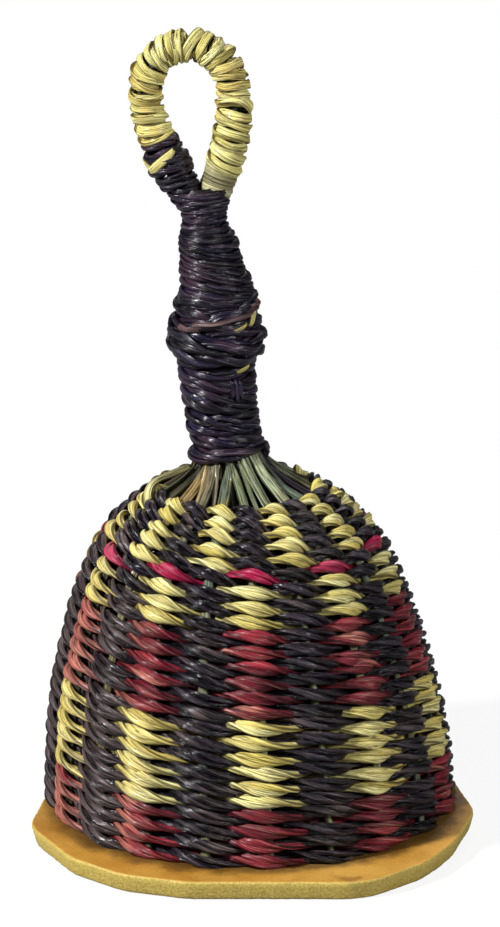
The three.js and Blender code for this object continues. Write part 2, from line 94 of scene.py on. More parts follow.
def put(tree, kind, given=None, output=0, **settings):
    """One output of a new node, with its settings and what its inputs are given."""
    node = tree.nodes.new(kind)
    for setting, value in settings.items():
        setattr(node, setting, value)
    fill(tree, node, given or {})
    return node.outputs[output]


def arithmetic(tree, operation, *values):
    """The result of a maths node over numbers and sockets."""
    return put(tree, "ShaderNodeMath", dict(enumerate(values)), operation=operation)


def distance_out(tree, place):
    """How far a place lies from the origin."""
    return put(tree, "ShaderNodeVectorMath", {0: place}, "Value", operation="LENGTH")


def stretch_value(tree, value, low, high, to_low=0.0, to_high=1.0):
    """The part of a value from low to high, stretched smoothly and clamped."""
    given = {"Value": value, "From Min": low, "From Max": high, "To Min": to_low, "To Max": to_high}
    return put(tree, "ShaderNodeMapRange", given, interpolation_type="SMOOTHSTEP")


def new_finish(name):
    """A new material and its node tree."""
    material = bpy.data.materials.new(name)
    material.use_nodes = True
    return material, material.node_tree


table_corners = [
    (TABLE_HALF_WIDTH * x, TABLE_HALF_WIDTH * y, TABLE_LEVEL)
    for x, y in ((-1, -1), (1, -1), (1, 1), (-1, 1))
]
table_mesh = bpy.data.meshes.new("table_top")
table_mesh.from_pydata(table_corners, [], [(0, 1, 2, 3)])
table_top = shown("table_top", table_mesh)
table_paint, paint_tree = new_finish("table_paint")
paint_tree.nodes.remove(paint_tree.nodes["Principled BSDF"])
paint_path = paint_tree.nodes.new("ShaderNodeLightPath").outputs
paint_rays = (paint_path["Is Camera Ray"], paint_path["Is Transmission Ray"])
paint_seen = arithmetic(paint_tree, "MAXIMUM", *paint_rays)
paint_tone = arithmetic(paint_tree, "MULTIPLY_ADD", paint_seen, 1 - TABLE_BOUNCE, TABLE_BOUNCE)
paint_reach = distance_out(paint_tree, put(paint_tree, "ShaderNodeTexCoord", output="Object"))
paint_away = stretch_value(paint_tree, paint_reach, *TABLE_WHITENING, *TABLE_WHITENESS)
paint_share = arithmetic(paint_tree, "MULTIPLY", paint_seen, paint_away)
paint_matt = put(paint_tree, "ShaderNodeBsdfDiffuse", {"Color": paint_tone})
paint_white = put(paint_tree, "ShaderNodeEmission", {"Color": WHITE})
paint_mix = put(paint_tree, "ShaderNodeMixShader", {0: paint_share, 1: paint_matt, 2: paint_white})
paint_back = put(paint_tree, "ShaderNodeNewGeometry", output="Backfacing")
paint_clear = put(paint_tree, "ShaderNodeBsdfTransparent")
paint_open = put(paint_tree, "ShaderNodeMixShader", {0: paint_back, 1: paint_mix, 2: paint_clear})
fill(paint_tree, paint_tree.nodes["Material Output"], {"Surface": paint_open})
table_mesh.materials.append(table_paint)
for lamp_name, lamp_place, lamp_size, lamp_watts in LAMPS:
    lamp_data = bpy.data.lights.new(lamp_name, "AREA")
    lamp_data.shape = "DISK"
    lamp_data.size = lamp_size
    lamp_data.energy = lamp_watts
    lamp = shown(lamp_name, lamp_data)
    lamp.location = lamp_place
    lamp.rotation_euler = (LOOK_AT - lamp.location).to_track_quat("-Z", "Y").to_euler()
surround = bpy.data.worlds.new("surround")
surround.use_nodes = True
sky_tree = surround.node_tree
sky_light = sky_tree.nodes["Background"]
fill(sky_tree, sky_light, {"Color": WHITE, "Strength": SURROUND_STRENGTH})
sky_seen = put(sky_tree, "ShaderNodeLightPath", output="Is Camera Ray")
sky_white = put(sky_tree, "ShaderNodeBackground", {"Color": WHITE})
sky_mix = put(sky_tree, "ShaderNodeMixShader", {0: sky_seen, 1: sky_light.outputs[0], 2: sky_white})
fill(sky_tree, sky_tree.nodes["World Output"], {"Surface": sky_mix})
scene.world = surround

# The base: a disc cut by hand with straight knife cuts from dry gourd shell, smooth and tan on top,
# pale and grainy on the cut edge. The feet of the stakes stand in a ring of drilled holes.
MM = 0.001
DISC_EDGE_STEP = 1.2
DISC_EDGE_ROUGHNESS = 0.22
DISC_EDGE_GRAIN = (0.9, 0.8)
DISC_EDGE_PROFILE = (
    (0.45, 0.0),
    (0.15, 0.25),
    (0.03, 0.9),
    (0.0, 2.1),
    (0.0, 3.6),
    (0.06, 4.8),
    (0.3, 5.3),
    (0.8, 5.5),
)
DISC_TOP = 5.5
DISC_UNDERCUT = 1.5
DISC_OUTLINE_REACH = 57.0
DISC_FULL_CORNER = (-42.0, 15.0, 1.6)
DISC_FLAT_NORMAL = 0.95
HOLE_RADIUS = 1.4
HOLE_SIDES = 14
FOOT_SLICE = 0.3
SHELL_MOTTLE = (45, 6)
SHELL_GRAIN = (1500, 3, 0.75)
SHELL_SMUDGE = (85, 5, 0.65)
SHELL_SPREAD = (0.3, 0.7)
SHELL_TAN = ((172, 120, 40), (202, 152, 66))
SHELL_FLECKS = ((0.6, 0.85, 0, 0.2), (222, 180, 104))
SHELL_SMUDGES = ((0.56, 0.74, 0, 0.55), (104, 62, 24))
SHELL_SHEEN = (0.3, 0.75, 0.38, 0.62)
SHELL_PIT_DEPTH = 0.6
SHELL_PIT_STRENGTH = 0.5
# Round the foot of the weave the disc's top darkens in a ragged ring: partly grime, partly painted shade.
FOOT_SHADE_AND_GRIME_REACH = (62.5, 57.0)
FOOT_SHADE_AND_GRIME_RAGGEDNESS = 12.0
FOOT_SHADE_AND_GRIME_STRENGTH = 0.75
FOOT_SHADE_AND_GRIME_COLOUR = (54, 36, 16)
RIM_FIBRE = ((166, 141, 58), (208, 185, 98))
RIM_FLECKS = ((0.6, 0.74, 0, 0.4), (112, 88, 44))


def blend_colour(tree, share, first, second):
    """Two colours mixed by a share, each a socket or a colour as seen, 0 to 255 each."""
    given = {"Factor": share}
    for number, colour in ((6, first), (7, second)):
        if isinstance(colour, tuple):
            seen = np.array(colour) / 255
            linear = np.where(seen <= 0.04045, seen / 12.92, ((seen + 0.055) / 1.055) ** 2.4)
            colour = (*linear, 1.0)
        given[number] = colour
    return put(tree, "ShaderNodeMix", given, 2, data_type="RGBA")


def speckle(tree, place, scale, detail, roughness=0.55):
    """A noise value over a place, with scale in spots a metre or a unit."""
    given = {"Vector": place, "Scale": scale, "Detail": detail, "Roughness": roughness}
    return put(tree, "ShaderNodeTexNoise", given, "Fac")


def bumps(tree, height, depth, strength=1.0):
    """The normal of a surface that is raised by a height, with its depth in millimetres."""
    given = {"Height": height, "Distance": depth * MM, "Strength": strength}
    return put(tree, "ShaderNodeBump", given, "Normal")


def shell_finish():
    """Dry gourd shell: tan and faintly mottled, with dark smudges, a ring of grime and painted shade
    round the weave's foot, and a pale grainy cut edge.
    """
    material, tree = new_finish("gourd_shell")
    place = put(tree, "ShaderNodeTexCoord", output="Object")
    rim = put(tree, "ShaderNodeAttribute", output="Fac", attribute_name="rim")
    mottle = speckle(tree, place, *SHELL_MOTTLE)
    grain = speckle(tree, place, *SHELL_GRAIN)
    smudge = speckle(tree, place, *SHELL_SMUDGE)
    # Grime and painted shade: darker in a ragged ring just outside the foot of the wall.
    ragged = arithmetic(tree, "MULTIPLY_ADD", smudge, FOOT_SHADE_AND_GRIME_RAGGEDNESS * MM, distance_out(tree, place))
    foot_shade_and_grime_reach = [(reach + FOOT_SHADE_AND_GRIME_RAGGEDNESS / 2) * MM for reach in FOOT_SHADE_AND_GRIME_REACH]
    foot_shade_and_grime = ((*foot_shade_and_grime_reach, 0, FOOT_SHADE_AND_GRIME_STRENGTH), FOOT_SHADE_AND_GRIME_COLOUR)
    top = blend_colour(tree, stretch_value(tree, mottle, *SHELL_SPREAD), *SHELL_TAN)
    for value, (spread, colour) in ((grain, SHELL_FLECKS), (smudge, SHELL_SMUDGES), (ragged, foot_shade_and_grime)):
        top = blend_colour(tree, stretch_value(tree, value, *spread), top, colour)
    edge = blend_colour(tree, stretch_value(tree, grain, *SHELL_SPREAD), *RIM_FIBRE)
    edge = blend_colour(tree, stretch_value(tree, smudge, *RIM_FLECKS[0]), edge, RIM_FLECKS[1])
    surface = {
        "Base Color": blend_colour(tree, rim, top, edge),
        "Roughness": stretch_value(tree, mottle, *SHELL_SHEEN),
        "Normal": bumps(tree, grain, SHELL_PIT_DEPTH, SHELL_PIT_STRENGTH),
    }
    fill(tree, tree.nodes["Principled BSDF"], surface)
    return material


def node_points(name):
    """The corners of a node of the frame, in metres."""
    return np.array([corner.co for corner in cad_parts[name].data.vertices])


def run_along(line):
    """How far along a line each of its points lies."""
    steps = np.linalg.norm(np.diff(line, axis=0), axis=1)
    return np.concatenate([[0], np.cumsum(steps)])


def along_line(spots, run, line):
    """What a line holds at spots along it, where run_along gave its run."""
    return np.stack([np.interp(spots, run, side) for side in line.T], 1)


disc_points = node_points("base_disc") / MM
disc_far = np.hypot(disc_points[:, 0], disc_points[:, 1]) > DISC_OUTLINE_REACH
disc_rim = disc_points[disc_far & (disc_points[:, 2] > DISC_TOP / 2)][:, :2]
disc_rim = np.unique(np.round(disc_rim, 3), axis=0)
disc_rim = disc_rim[np.argsort(np.arctan2(disc_rim[:, 1], disc_rim[:, 0]))]
rim_closed = np.vstack([disc_rim, disc_rim[:1]])
rim_run = run_along(rim_closed)
disc_outline = along_line(np.arange(0, rim_run[-1], DISC_EDGE_STEP), rim_run, rim_closed)
full_bearing, full_spread, full_size = DISC_FULL_CORNER
rim_bearings = np.degrees(np.arctan2(disc_outline[:, 1], disc_outline[:, 0]))
fuller = full_size * np.exp(-(((rim_bearings - full_bearing) / full_spread) ** 2))
disc_outline *= 1 + (fuller / np.linalg.norm(disc_outline, axis=1))[:, None]
disc_work = bmesh.new()
rim_value = disc_work.verts.layers.float.new("rim")
flat_grain, tall_grain = DISC_EDGE_GRAIN
disc_rings = []
for level, (rounding, height) in enumerate(DISC_EDGE_PROFILE):
    inset = rounding + DISC_UNDERCUT * (1 - height / DISC_TOP)
    ring = []
    for x, y in disc_outline:
        reach = math.hypot(x, y)
        grain_place = Vector((x * flat_grain, y * flat_grain, height * tall_grain))
        ragged = DISC_EDGE_ROUGHNESS * noise.noise(grain_place)
        share = (reach - inset + ragged - DISC_EDGE_ROUGHNESS) / reach
        vertex = disc_work.verts.new((x * share * MM, y * share * MM, height * MM))
        vertex[rim_value] = float(0 < level < len(DISC_EDGE_PROFILE) - 1)
        ring.append(vertex)
    disc_rings.append(ring)
disc_count = len(disc_outline)
for below, above in zip(disc_rings, disc_rings[1:]):
    for spot in range(disc_count):
        after = (spot + 1) % disc_count
        disc_work.faces.new((below[spot], below[after], above[after], above[spot]))
stake_names = sorted(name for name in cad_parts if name.startswith("stake_"))
hole_rings = {0: [], -1: []}
for stake_name in stake_names:
    stake_points = node_points(stake_name) / MM
    foot = stake_points[stake_points[:, 2] < stake_points[:, 2].min() + FOOT_SLICE].mean(axis=0)
    pair = []
    for level in (0, -1):
        height = DISC_EDGE_PROFILE[level][1]
        ring = []
        for side in range(HOLE_SIDES):
            turn = 2 * math.pi * side / HOLE_SIDES
            x = foot[0] + HOLE_RADIUS * math.cos(turn)
            y = foot[1] + HOLE_RADIUS * math.sin(turn)
            ring.append(disc_work.verts.new((x * MM, y * MM, height * MM)))
        hole_rings[level].append(ring)
        pair.append(ring)
    for side in range(HOLE_SIDES):
        after = (side + 1) % HOLE_SIDES
        disc_work.faces.new((pair[0][side], pair[1][side], pair[1][after], pair[0][after]))
for level in (0, -1):
    flat_edges = []
    for ring in [disc_rings[level]] + hole_rings[level]:
        for spot, vertex in enumerate(ring):
            follower = ring[(spot + 1) % len(ring)]
            edge = disc_work.edges.get((vertex, follower))
            flat_edges.append(edge or disc_work.edges.new((vertex, follower)))
    bmesh.ops.triangle_fill(disc_work, edges=flat_edges, use_beauty=True)
bmesh.ops.recalc_face_normals(disc_work, faces=disc_work.faces)
for face in disc_work.faces:
    face.smooth = abs(face.normal.z) < DISC_FLAT_NORMAL
disc_mesh = bpy.data.meshes.new("gourd_disc")
disc_work.to_mesh(disc_mesh)
disc_work.free()
disc_mesh.materials.append(shell_finish())
gourd_disc = shown("gourd_disc", disc_mesh)
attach(gourd_disc, "basket")
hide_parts("base_disc")

# The stakes: twenty thin canes of dried stalk, from pale green to tan and dark, ribbed lengthwise, each
# with a split sliver beside it at the crown. They stand in the disc, carry the weave, and are drawn
# together above it into the grip.
STAKE_COUNT = len(stake_names)
FIRST_STAKE_BEARING = -84.7
STAKE_WIDTHS = ((0.0, 1.3), (88.0, 1.3), (95.5, 1.6), (104.0, 1.45), (112.0, 1.25), (230.0, 1.25))
STAKE_DEPTHS = ((0.0, 1.05), (88.0, 1.05), (96.0, 0.8), (104.0, 0.9), (112.0, 1.0), (230.0, 1.0))
STAKE_WIDTH_SPREAD = 0.14
STAKE_SHADES = (0.1, 0.9)
STAKE_STEPS = 70
STAKE_TURN = 0.5
STAKE_FACING_UP = 0.3
STAKE_DRAWN_IN = ((140.0, 1.0), (162.0, 0.72))
TIP_SLICE = 0.6
SLIVER_LEVELS = (0.9, 1.0)
SLIVER_STEPS = 8
SLIVER_ASIDE = (0.7, 1.3)
SLIVER_INSET = 2.6
SLIVER_NECK_RADIUS = 7.6
SLIVER_HALF_SIZES = (0.8, 0.45)
SLIVER_SHADES = (0, 0.6)
SLIVER_TOP = 113.2
FOOT_HEIGHT = 0.5
WALL_FOOT = (54.2, 5.5)
WALL_BELLY = (53.4, 41.5)
WALL_SHOULDER = (40.2, 73.7)
CROWN_ROUNDING = 12.0
WALL_MOUTH = (20.2, 94.7)
WALL_STEPS = 201
NECK_HEIGHT = 103.2
NECK_TOP = 112.2
NECK_STEPS = 13
NECK_WANDER = 0.9
RISING_STEPS = 12
LEAN_STATIONS = (
    (5.5, 0.6),
    (73.7, 3.6),
    (94.7, 4.0),
    (112.2, 8.0),
    (128.2, 9.9),
    (150.2, 10.1),
    (172.2, 13.5),
    (217.9, 17.4),
)
CREASE_SHARPNESS = 8
FOLD_FINENESS = 1.3
FOLD_DRIFT = 0.11
FOLD_STRAW_SHIFT = 7.3
RIPPLE_FINENESS = 260
LANE_MARGINS = (0.02, 0.04)
LANE_OVERRUN = 0.2


def eased(share):
    """A share from 0 to 1 that leaves and arrives gently."""
    return share * share * (3 - 2 * share)


def unit_rows(vectors):
    """Vectors of the same directions and of length one."""
    return vectors / np.linalg.norm(vectors, axis=1)[:, None]


def smooth_line(stations, heights):
    """The values at these heights of a smooth line through (height, value) stations."""
    spots, values = np.array(stations, float).T
    slopes = np.gradient(values, spots)
    place = np.clip(np.searchsorted(spots, heights) - 1, 0, len(spots) - 2)
    span = spots[place + 1] - spots[place]
    share = np.clip((heights - spots[place]) / span, 0, 1)
    rise = values[place + 1] - values[place]
    leaving = share * (1 - share) ** 2 * slopes[place] * span
    arriving = share * share * (share - 1) * slopes[place + 1] * span
    return values[place] + rise * eased(share) + leaving + arriving


def lean(heights):
    """Where the middle of the rattle lies along X: it leans to the left towards the top."""
    return -smooth_line(LEAN_STATIONS, np.asarray(heights, float))


def bend(start, pull, end, shares):
    """Points on a curve from start to end that is drawn towards pull."""
    shares = np.asarray(shares, float)[:, None]
    start, pull, end = (np.array(point, float) for point in (start, pull, end))
    return (1 - shares) ** 2 * start + 2 * shares * (1 - shares) * pull + shares**2 * end


def wall_line(levels):
    """Middle, outward and upward direction of the wall as (radius, height), at levels from 0 to 1."""
    shoulder = np.array(WALL_SHOULDER)
    rise = shoulder - np.array(WALL_BELLY)
    crown = shoulder + CROWN_ROUNDING * rise / np.linalg.norm(rise)
    shares = np.linspace(0, 1, WALL_STEPS)
    lower = bend(WALL_FOOT, WALL_BELLY, WALL_SHOULDER, shares)
    upper = bend(WALL_SHOULDER, crown, WALL_MOUTH, shares)
    line = np.vstack([lower, upper[1:]])
    run = run_along(line)
    spots = np.asarray(levels, float) * run[-1]
    upward = unit_rows(along_line(spots, run, np.gradient(line, run, axis=0)))
    outward = np.stack([upward[:, 1], -upward[:, 0]], 1)
    return along_line(spots, run, line), outward, upward


def node_group(name, kind, inputs, outputs):
    """A new node group with named inputs and outputs, and its two end nodes."""
    tree = bpy.data.node_groups.new(name, kind)
    for way, sockets in (("INPUT", inputs), ("OUTPUT", outputs)):
        for label, socket_kind in sockets.items():
            tree.interface.new_socket(label, in_out=way, socket_type="NodeSocket" + socket_kind)
    return tree, tree.nodes.new("NodeGroupInput").outputs, tree.nodes.new("NodeGroupOutput")


def straw_sweep_tree():
    """Sweeps a creased oval straw along each line of a path, which holds its half sizes and facing."""
    inputs = {
        "Path": "Geometry",
        "Sides": "Int",
        "Edge": "Float",
        "Crease": "Float",
        "Pleats": "Float",
        "Unevenness": "Float",
        "Seed": "Float",
        "Finish": "Material",
    }
    tree, given, ending = node_group("straw_sweep", "GeometryNodeTree", inputs, {"Straw": "Geometry"})

    def add(kind, inputs=None, **settings):
        return put(tree, "GeometryNode" + kind, inputs, **settings)

    def keep(geometry, label, value):
        inputs = {"Geometry": geometry, "Name": label, "Value": value}
        return add("StoreNamedAttribute", inputs, data_type="FLOAT_VECTOR", domain="POINT")

    def read(label, kind="FLOAT"):
        return add("InputNamedAttribute", {"Name": label}, output="Attribute", data_type=kind)

    def vectors(operation, first, second=None):
        inputs = {0: first}
        if second is not None:
            inputs["Scale" if operation == "SCALE" else 1] = second
        return put(tree, "ShaderNodeVectorMath", inputs, "Vector", operation=operation)

    def numbers(operation, *values):
        return arithmetic(tree, operation, *values)

    def product(first, *others):
        for value in others:
            first = numbers("MULTIPLY", first, value)
        return first

    rail = keep(add("MeshToCurve", {"Mesh": given["Path"]}), "middle", add("InputPosition"))
    rail = keep(rail, "run", add("InputTangent"))
    ring = add("CurvePrimitiveCircle", {"Radius": 1, "Resolution": given["Sides"]}, mode="RADIUS")
    outline = keep(ring, "section", add("InputPosition"))
    tube = add("CurveToMesh", {"Curve": rail, "Profile Curve": outline, "Fill Caps": True})
    run = read("run", "FLOAT_VECTOR")
    side = vectors("NORMALIZE", vectors("CROSS_PRODUCT", run, read("outward", "FLOAT_VECTOR")))
    lift = vectors("NORMALIZE", vectors("CROSS_PRODUCT", side, run))
    section = tree.nodes.new("ShaderNodeSeparateXYZ")
    fill(tree, section, {0: read("section", "FLOAT_VECTOR")})
    ahead = section.outputs["X"]
    aside = section.outputs["Y"]
    front = numbers("POWER", numbers("MAXIMUM", ahead, 0), CREASE_SHARPNESS)
    groove = numbers("SUBTRACT", 1, product(front, given["Crease"]))
    lens = product(numbers("POWER", numbers("ABSOLUTE", ahead), given["Edge"]), numbers("SIGN", ahead))
    straw_shift = product(read("straw"), FOLD_STRAW_SHIFT)
    fold_place = {
        "X": product(ahead, FOLD_FINENESS),
        "Y": product(aside, FOLD_FINENESS),
        "Z": numbers("MULTIPLY_ADD", read("along"), FOLD_DRIFT, straw_shift),
    }
    folds = speckle(tree, put(tree, "ShaderNodeCombineXYZ", fold_place), 1, 1, 0.5)
    pleat = numbers("ADD", product(numbers("SUBTRACT", folds, 0.5), given["Pleats"]), 1)
    thick = product(lens, groove, read("half_depth"), pleat)
    wide = product(aside, read("half_width"), pleat)
    offset = vectors("ADD", vectors("SCALE", lift, thick), vectors("SCALE", side, wide))
    smooth_place = vectors("ADD", read("middle", "FLOAT_VECTOR"), offset)
    ripple_place = vectors("ADD", smooth_place, put(tree, "ShaderNodeCombineXYZ", {"X": given["Seed"]}))
    ripple_inputs = {"Vector": ripple_place, "Scale": RIPPLE_FINENESS, "Detail": 1}
    ripple = put(tree, "ShaderNodeTexNoise", ripple_inputs, "Color")
    ripple = vectors("SUBTRACT", ripple, (0.5, 0.5, 0.5))
    place = vectors("ADD", smooth_place, vectors("SCALE", ripple, given["Unevenness"]))
    straw = add("SetPosition", {"Geometry": tube, "Position": place})
    straw = add("SetShadeSmooth", {"Geometry": straw})
    straw = add("RealizeInstances", {"Geometry": straw})
    straw = add("SetMaterial", {"Geometry": straw, "Material": given["Finish"]})
    fill(tree, ending, {"Straw": straw})
    return tree


straw_sweep = straw_sweep_tree()


def strand(points, outward, half_width, half_depth, tone, closed=False):
    """One straw for straw_piece: its line in millimetres, facing, half sizes and shade along it."""
    spread = np.ones(len(points))
    return {
        "points": points,
        "outward": outward,
        "half_width": half_width * spread * MM,
        "half_depth": half_depth * spread * MM,
        "tone": tone * spread,
        "along": run_along(points),
        "closed": closed,
    }


def bake_layout(mesh, cuts):
    """A flat map of the swept straws: each straw is cut into lanes that lie side by side."""
    corner_point = np.zeros(len(mesh.loops), int)
    mesh.loops.foreach_get("vertex_index", corner_point)
    face_size = np.zeros(len(mesh.polygons), int)
    mesh.polygons.foreach_get("loop_total", face_size)
    face_of_corner = np.repeat(np.arange(len(face_size)), face_size)
    first_corner = np.cumsum(face_size) - face_size

    def at_corners(label, width):
        values = np.zeros(len(mesh.vertices) * width)
        mesh.attributes[label].data.foreach_get("vector" if width == 3 else "value", values)
        return values.reshape(-1, width)[corner_point]

    def unwrapped(values):
        low = np.minimum.reduceat(values, first_corner)[face_of_corner]
        high = np.maximum.reduceat(values, first_corner)[face_of_corner]
        return np.where((high - low > 0.5) & (values < 0.5), values + 1, values)

    section = at_corners("section", 3)
    around = unwrapped((np.arctan2(section[:, 1], section[:, 0]) / (2 * math.pi)) % 1)
    share = unwrapped(at_corners("share", 1)[:, 0]) * cuts
    middle = np.add.reduceat(share, first_corner) / face_size
    lane = np.floor(middle)[face_of_corner]
    straw = at_corners("straw", 1)[:, 0]
    lanes = (straw.max() + 1) * (cuts + 1)
    longest = 1 + LANE_OVERRUN
    end_margin, side_margin = LANE_MARGINS
    inside = side_margin + (1 - 2 * side_margin) * around / longest
    across = (straw * (cuts + 1) + lane + inside) / lanes
    in_lane = np.clip(share - lane, -LANE_OVERRUN, longest)
    lengthwise = end_margin + (1 - 2 * end_margin) * in_lane / longest
    layout = mesh.uv_layers.new(name="OFBake")
    layout.data.foreach_set("uv", np.stack([lengthwise, across], 1).ravel())


def straw_piece(
    name, strands, finish, sides=12, edge=1.0, crease=0.2, pleats=0.5, ripple=0.2, seed=0, cuts=4
):
    """A shown piece made of straws swept along their lines, as one plain mesh at the origin."""
    path = bpy.data.meshes.new(name)
    edges = []
    first = 0
    for number, straw in enumerate(strands):
        spots = np.arange(first, first + len(straw["points"]))
        pairs = np.stack([spots, np.roll(spots, -1)], 1)
        edges.append(pairs if straw["closed"] else pairs[:-1])
        first += len(spots)
        straw["share"] = straw["along"] / straw["along"][-1]
        straw["straw"] = np.full(len(spots), float(number))
    places = np.concatenate([straw["points"] for straw in strands]) * MM
    path.from_pydata(places.tolist(), np.concatenate(edges).tolist(), [])
    facing = np.concatenate([straw["outward"] for straw in strands])
    path.attributes.new("outward", "FLOAT_VECTOR", "POINT").data.foreach_set("vector", facing.ravel())
    for label in ("half_width", "half_depth", "tone", "along", "share", "straw"):
        values = np.concatenate([straw[label] for straw in strands])
        path.attributes.new(label, "FLOAT", "POINT").data.foreach_set("value", values)
    piece = shown(name, path)
    sweep = piece.modifiers.new("sweep", "NODES")
    sweep.node_group = straw_sweep
    settings = {
        "Sides": sides,
        "Edge": edge,
        "Crease": crease,
        "Pleats": pleats,
        "Unevenness": ripple * MM,
        "Seed": float(seed),
        "Finish": finish,
    }
    for socket in straw_sweep.interface.items_tree:
        if socket.name in settings:
            sweep[socket.identifier] = settings[socket.name]
    swept = bpy.data.meshes.new_from_object(piece.evaluated_get(bpy.context.evaluated_depsgraph_get()))
    piece.modifiers.remove(sweep)
    piece.data = swept
    bpy.data.meshes.remove(path)
    swept.name = name
    bake_layout(swept, cuts)
    turned = bmesh.new()
    turned.from_mesh(swept)
    bmesh.ops.recalc_face_normals(turned, faces=turned.faces)
    turned.to_mesh(swept)
    turned.free()
    return piece


# Each noise of the straw: how fine it is across and along, how far it shifts from straw to straw, and
# its detail and roughness. The spans below say which part of a value counts, and how much it adds.
PATCH_NOISE = (0.4, 0.06, 5.3, 2, 0.5)
RIDGE_NOISE = (4.0, 0.06, 9.1, 3, 0.6)
HAIR_NOISE = (9.0, 0.05, 3.7, 2, 0.5)
FOLD_NOISE = (1.9, 0.045, 6.7, 1, 0.4)
SPOT_NOISE = (75, 2, 0.5)
SHADE_WEIGHTS = (0.5, 0.55, 0.2)
SHADE_SPAN = (0.35, 0.95)
STAIN_WEIGHTS = (0.45, 0.55)
STAIN_AND_SIDE_LIGHT_SPAN = (0.51, 0.66)
# Painted light: the stains spread further on the left side, towards the key lamp, so that side of the
# weave reads lighter.
LEFT_SIDE_PAINTED_LIGHT = (-0.02, -0.046, 0, 0.19)
# Painted shade: dark lines along the folds and splits of a straw, in its crease colour.
FOLD_MIDDLE = 0.5
FOLD_SPAN = (0.035, 0.006)
SPLIT_MIDDLE = 0.47
SPLIT_SPAN = (0.045, 0.0)
# Pale marks on the outward crests, in the rub colour: partly real wear, partly painted highlight and
# glints.
CREST_SPAN = (0.45, 0.95)
RUB_AND_GLINT_SPAN = (0.54, 0.7)
RELIEF_WEIGHTS = (0.7, 0.3)
SUNK_SPAN = (0.09, 0.0, 0, 0.7)
# Painted shade: each straw darkens to its crease colour towards its side edges, where it meets its
# neighbours.
SIDE_SHADE_SPAN = (0.72, 1.0)
RUB_AND_HIGHLIGHT_SHARE = 0.5
CREASE_SHADE_SHARE = 0.8
COAT_SHARE = 0.3
COAT_ROUGHNESS = 0.12
RIB_HEIGHT = 0.4


def straw_fibre_group():
    """Fibres, creases and edges in painted shade, crests partly painted highlight, stains more on the
    left as painted light.
    """
    inputs = {"Section": "Vector"} | dict.fromkeys(("Along", "Tone", "Straw", "Weathering"), "Float")
    outputs = dict.fromkeys(("Shade", "Stain", "Crease", "Edge", "Rub", "Height"), "Float")
    tree, given, ending = node_group("straw_fibres", "ShaderNodeTree", inputs, outputs)

    def numbers(operation, *values):
        return arithmetic(tree, operation, *values)

    def spanned(value, span):
        return stretch_value(tree, value, *span)

    def weighted(values, weights):
        total = 0.0
        for value, weight in zip(values, weights):
            total = numbers("MULTIPLY_ADD", value, weight, total)
        return total

    def axes_of(vector):
        parts = tree.nodes.new("ShaderNodeSeparateXYZ")
        fill(tree, parts, {0: vector})
        return parts.outputs

    def lengthwise(across_scale, along_scale, shift, detail, roughness):
        own_start = numbers("MULTIPLY", given["Straw"], shift)
        place = {
            "X": numbers("MULTIPLY", section["X"], across_scale),
            "Y": numbers("MULTIPLY", section["Y"], across_scale),
            "Z": numbers("MULTIPLY_ADD", given["Along"], along_scale, own_start),
        }
        return speckle(tree, put(tree, "ShaderNodeCombineXYZ", place), 1, detail, roughness)

    section = axes_of(given["Section"])
    patches = lengthwise(*PATCH_NOISE)
    ridges = lengthwise(*RIDGE_NOISE)
    hairs = lengthwise(*HAIR_NOISE)
    folds = lengthwise(*FOLD_NOISE)
    place = put(tree, "ShaderNodeTexCoord", output="Object")
    stains_and_side_light = weighted((patches, speckle(tree, place, *SPOT_NOISE)), STAIN_WEIGHTS)
    # Painted light: more stain on the left side, towards the key lamp.
    stains_and_side_light = numbers("ADD", stains_and_side_light, spanned(axes_of(place)["X"], LEFT_SIDE_PAINTED_LIGHT))
    folded = numbers("ABSOLUTE", numbers("SUBTRACT", folds, FOLD_MIDDLE))
    split = numbers("ABSOLUTE", numbers("SUBTRACT", ridges, SPLIT_MIDDLE))
    relief = weighted((ridges, hairs), RELIEF_WEIGHTS)
    made = {
        "Shade": spanned(weighted((given["Tone"], ridges, hairs), SHADE_WEIGHTS), SHADE_SPAN),
        "Stain": spanned(numbers("ADD", stains_and_side_light, given["Weathering"]), STAIN_AND_SIDE_LIGHT_SPAN),
        # Painted shade in folds and splits.
        "Crease": numbers("MAXIMUM", spanned(folded, FOLD_SPAN), spanned(split, SPLIT_SPAN)),
        # Rubbed crests: partly wear, partly painted highlight.
        "Rub": numbers("MULTIPLY", spanned(section["X"], CREST_SPAN), spanned(hairs, RUB_AND_GLINT_SPAN)),
        "Height": numbers("SUBTRACT", relief, spanned(folded, SUNK_SPAN)),
        # Painted shade along the side edges of the straw.
        "Edge": spanned(numbers("ABSOLUTE", section["Y"]), SIDE_SHADE_SPAN),
    }
    fill(tree, ending, made)
    return tree


straw_fibres = straw_fibre_group()


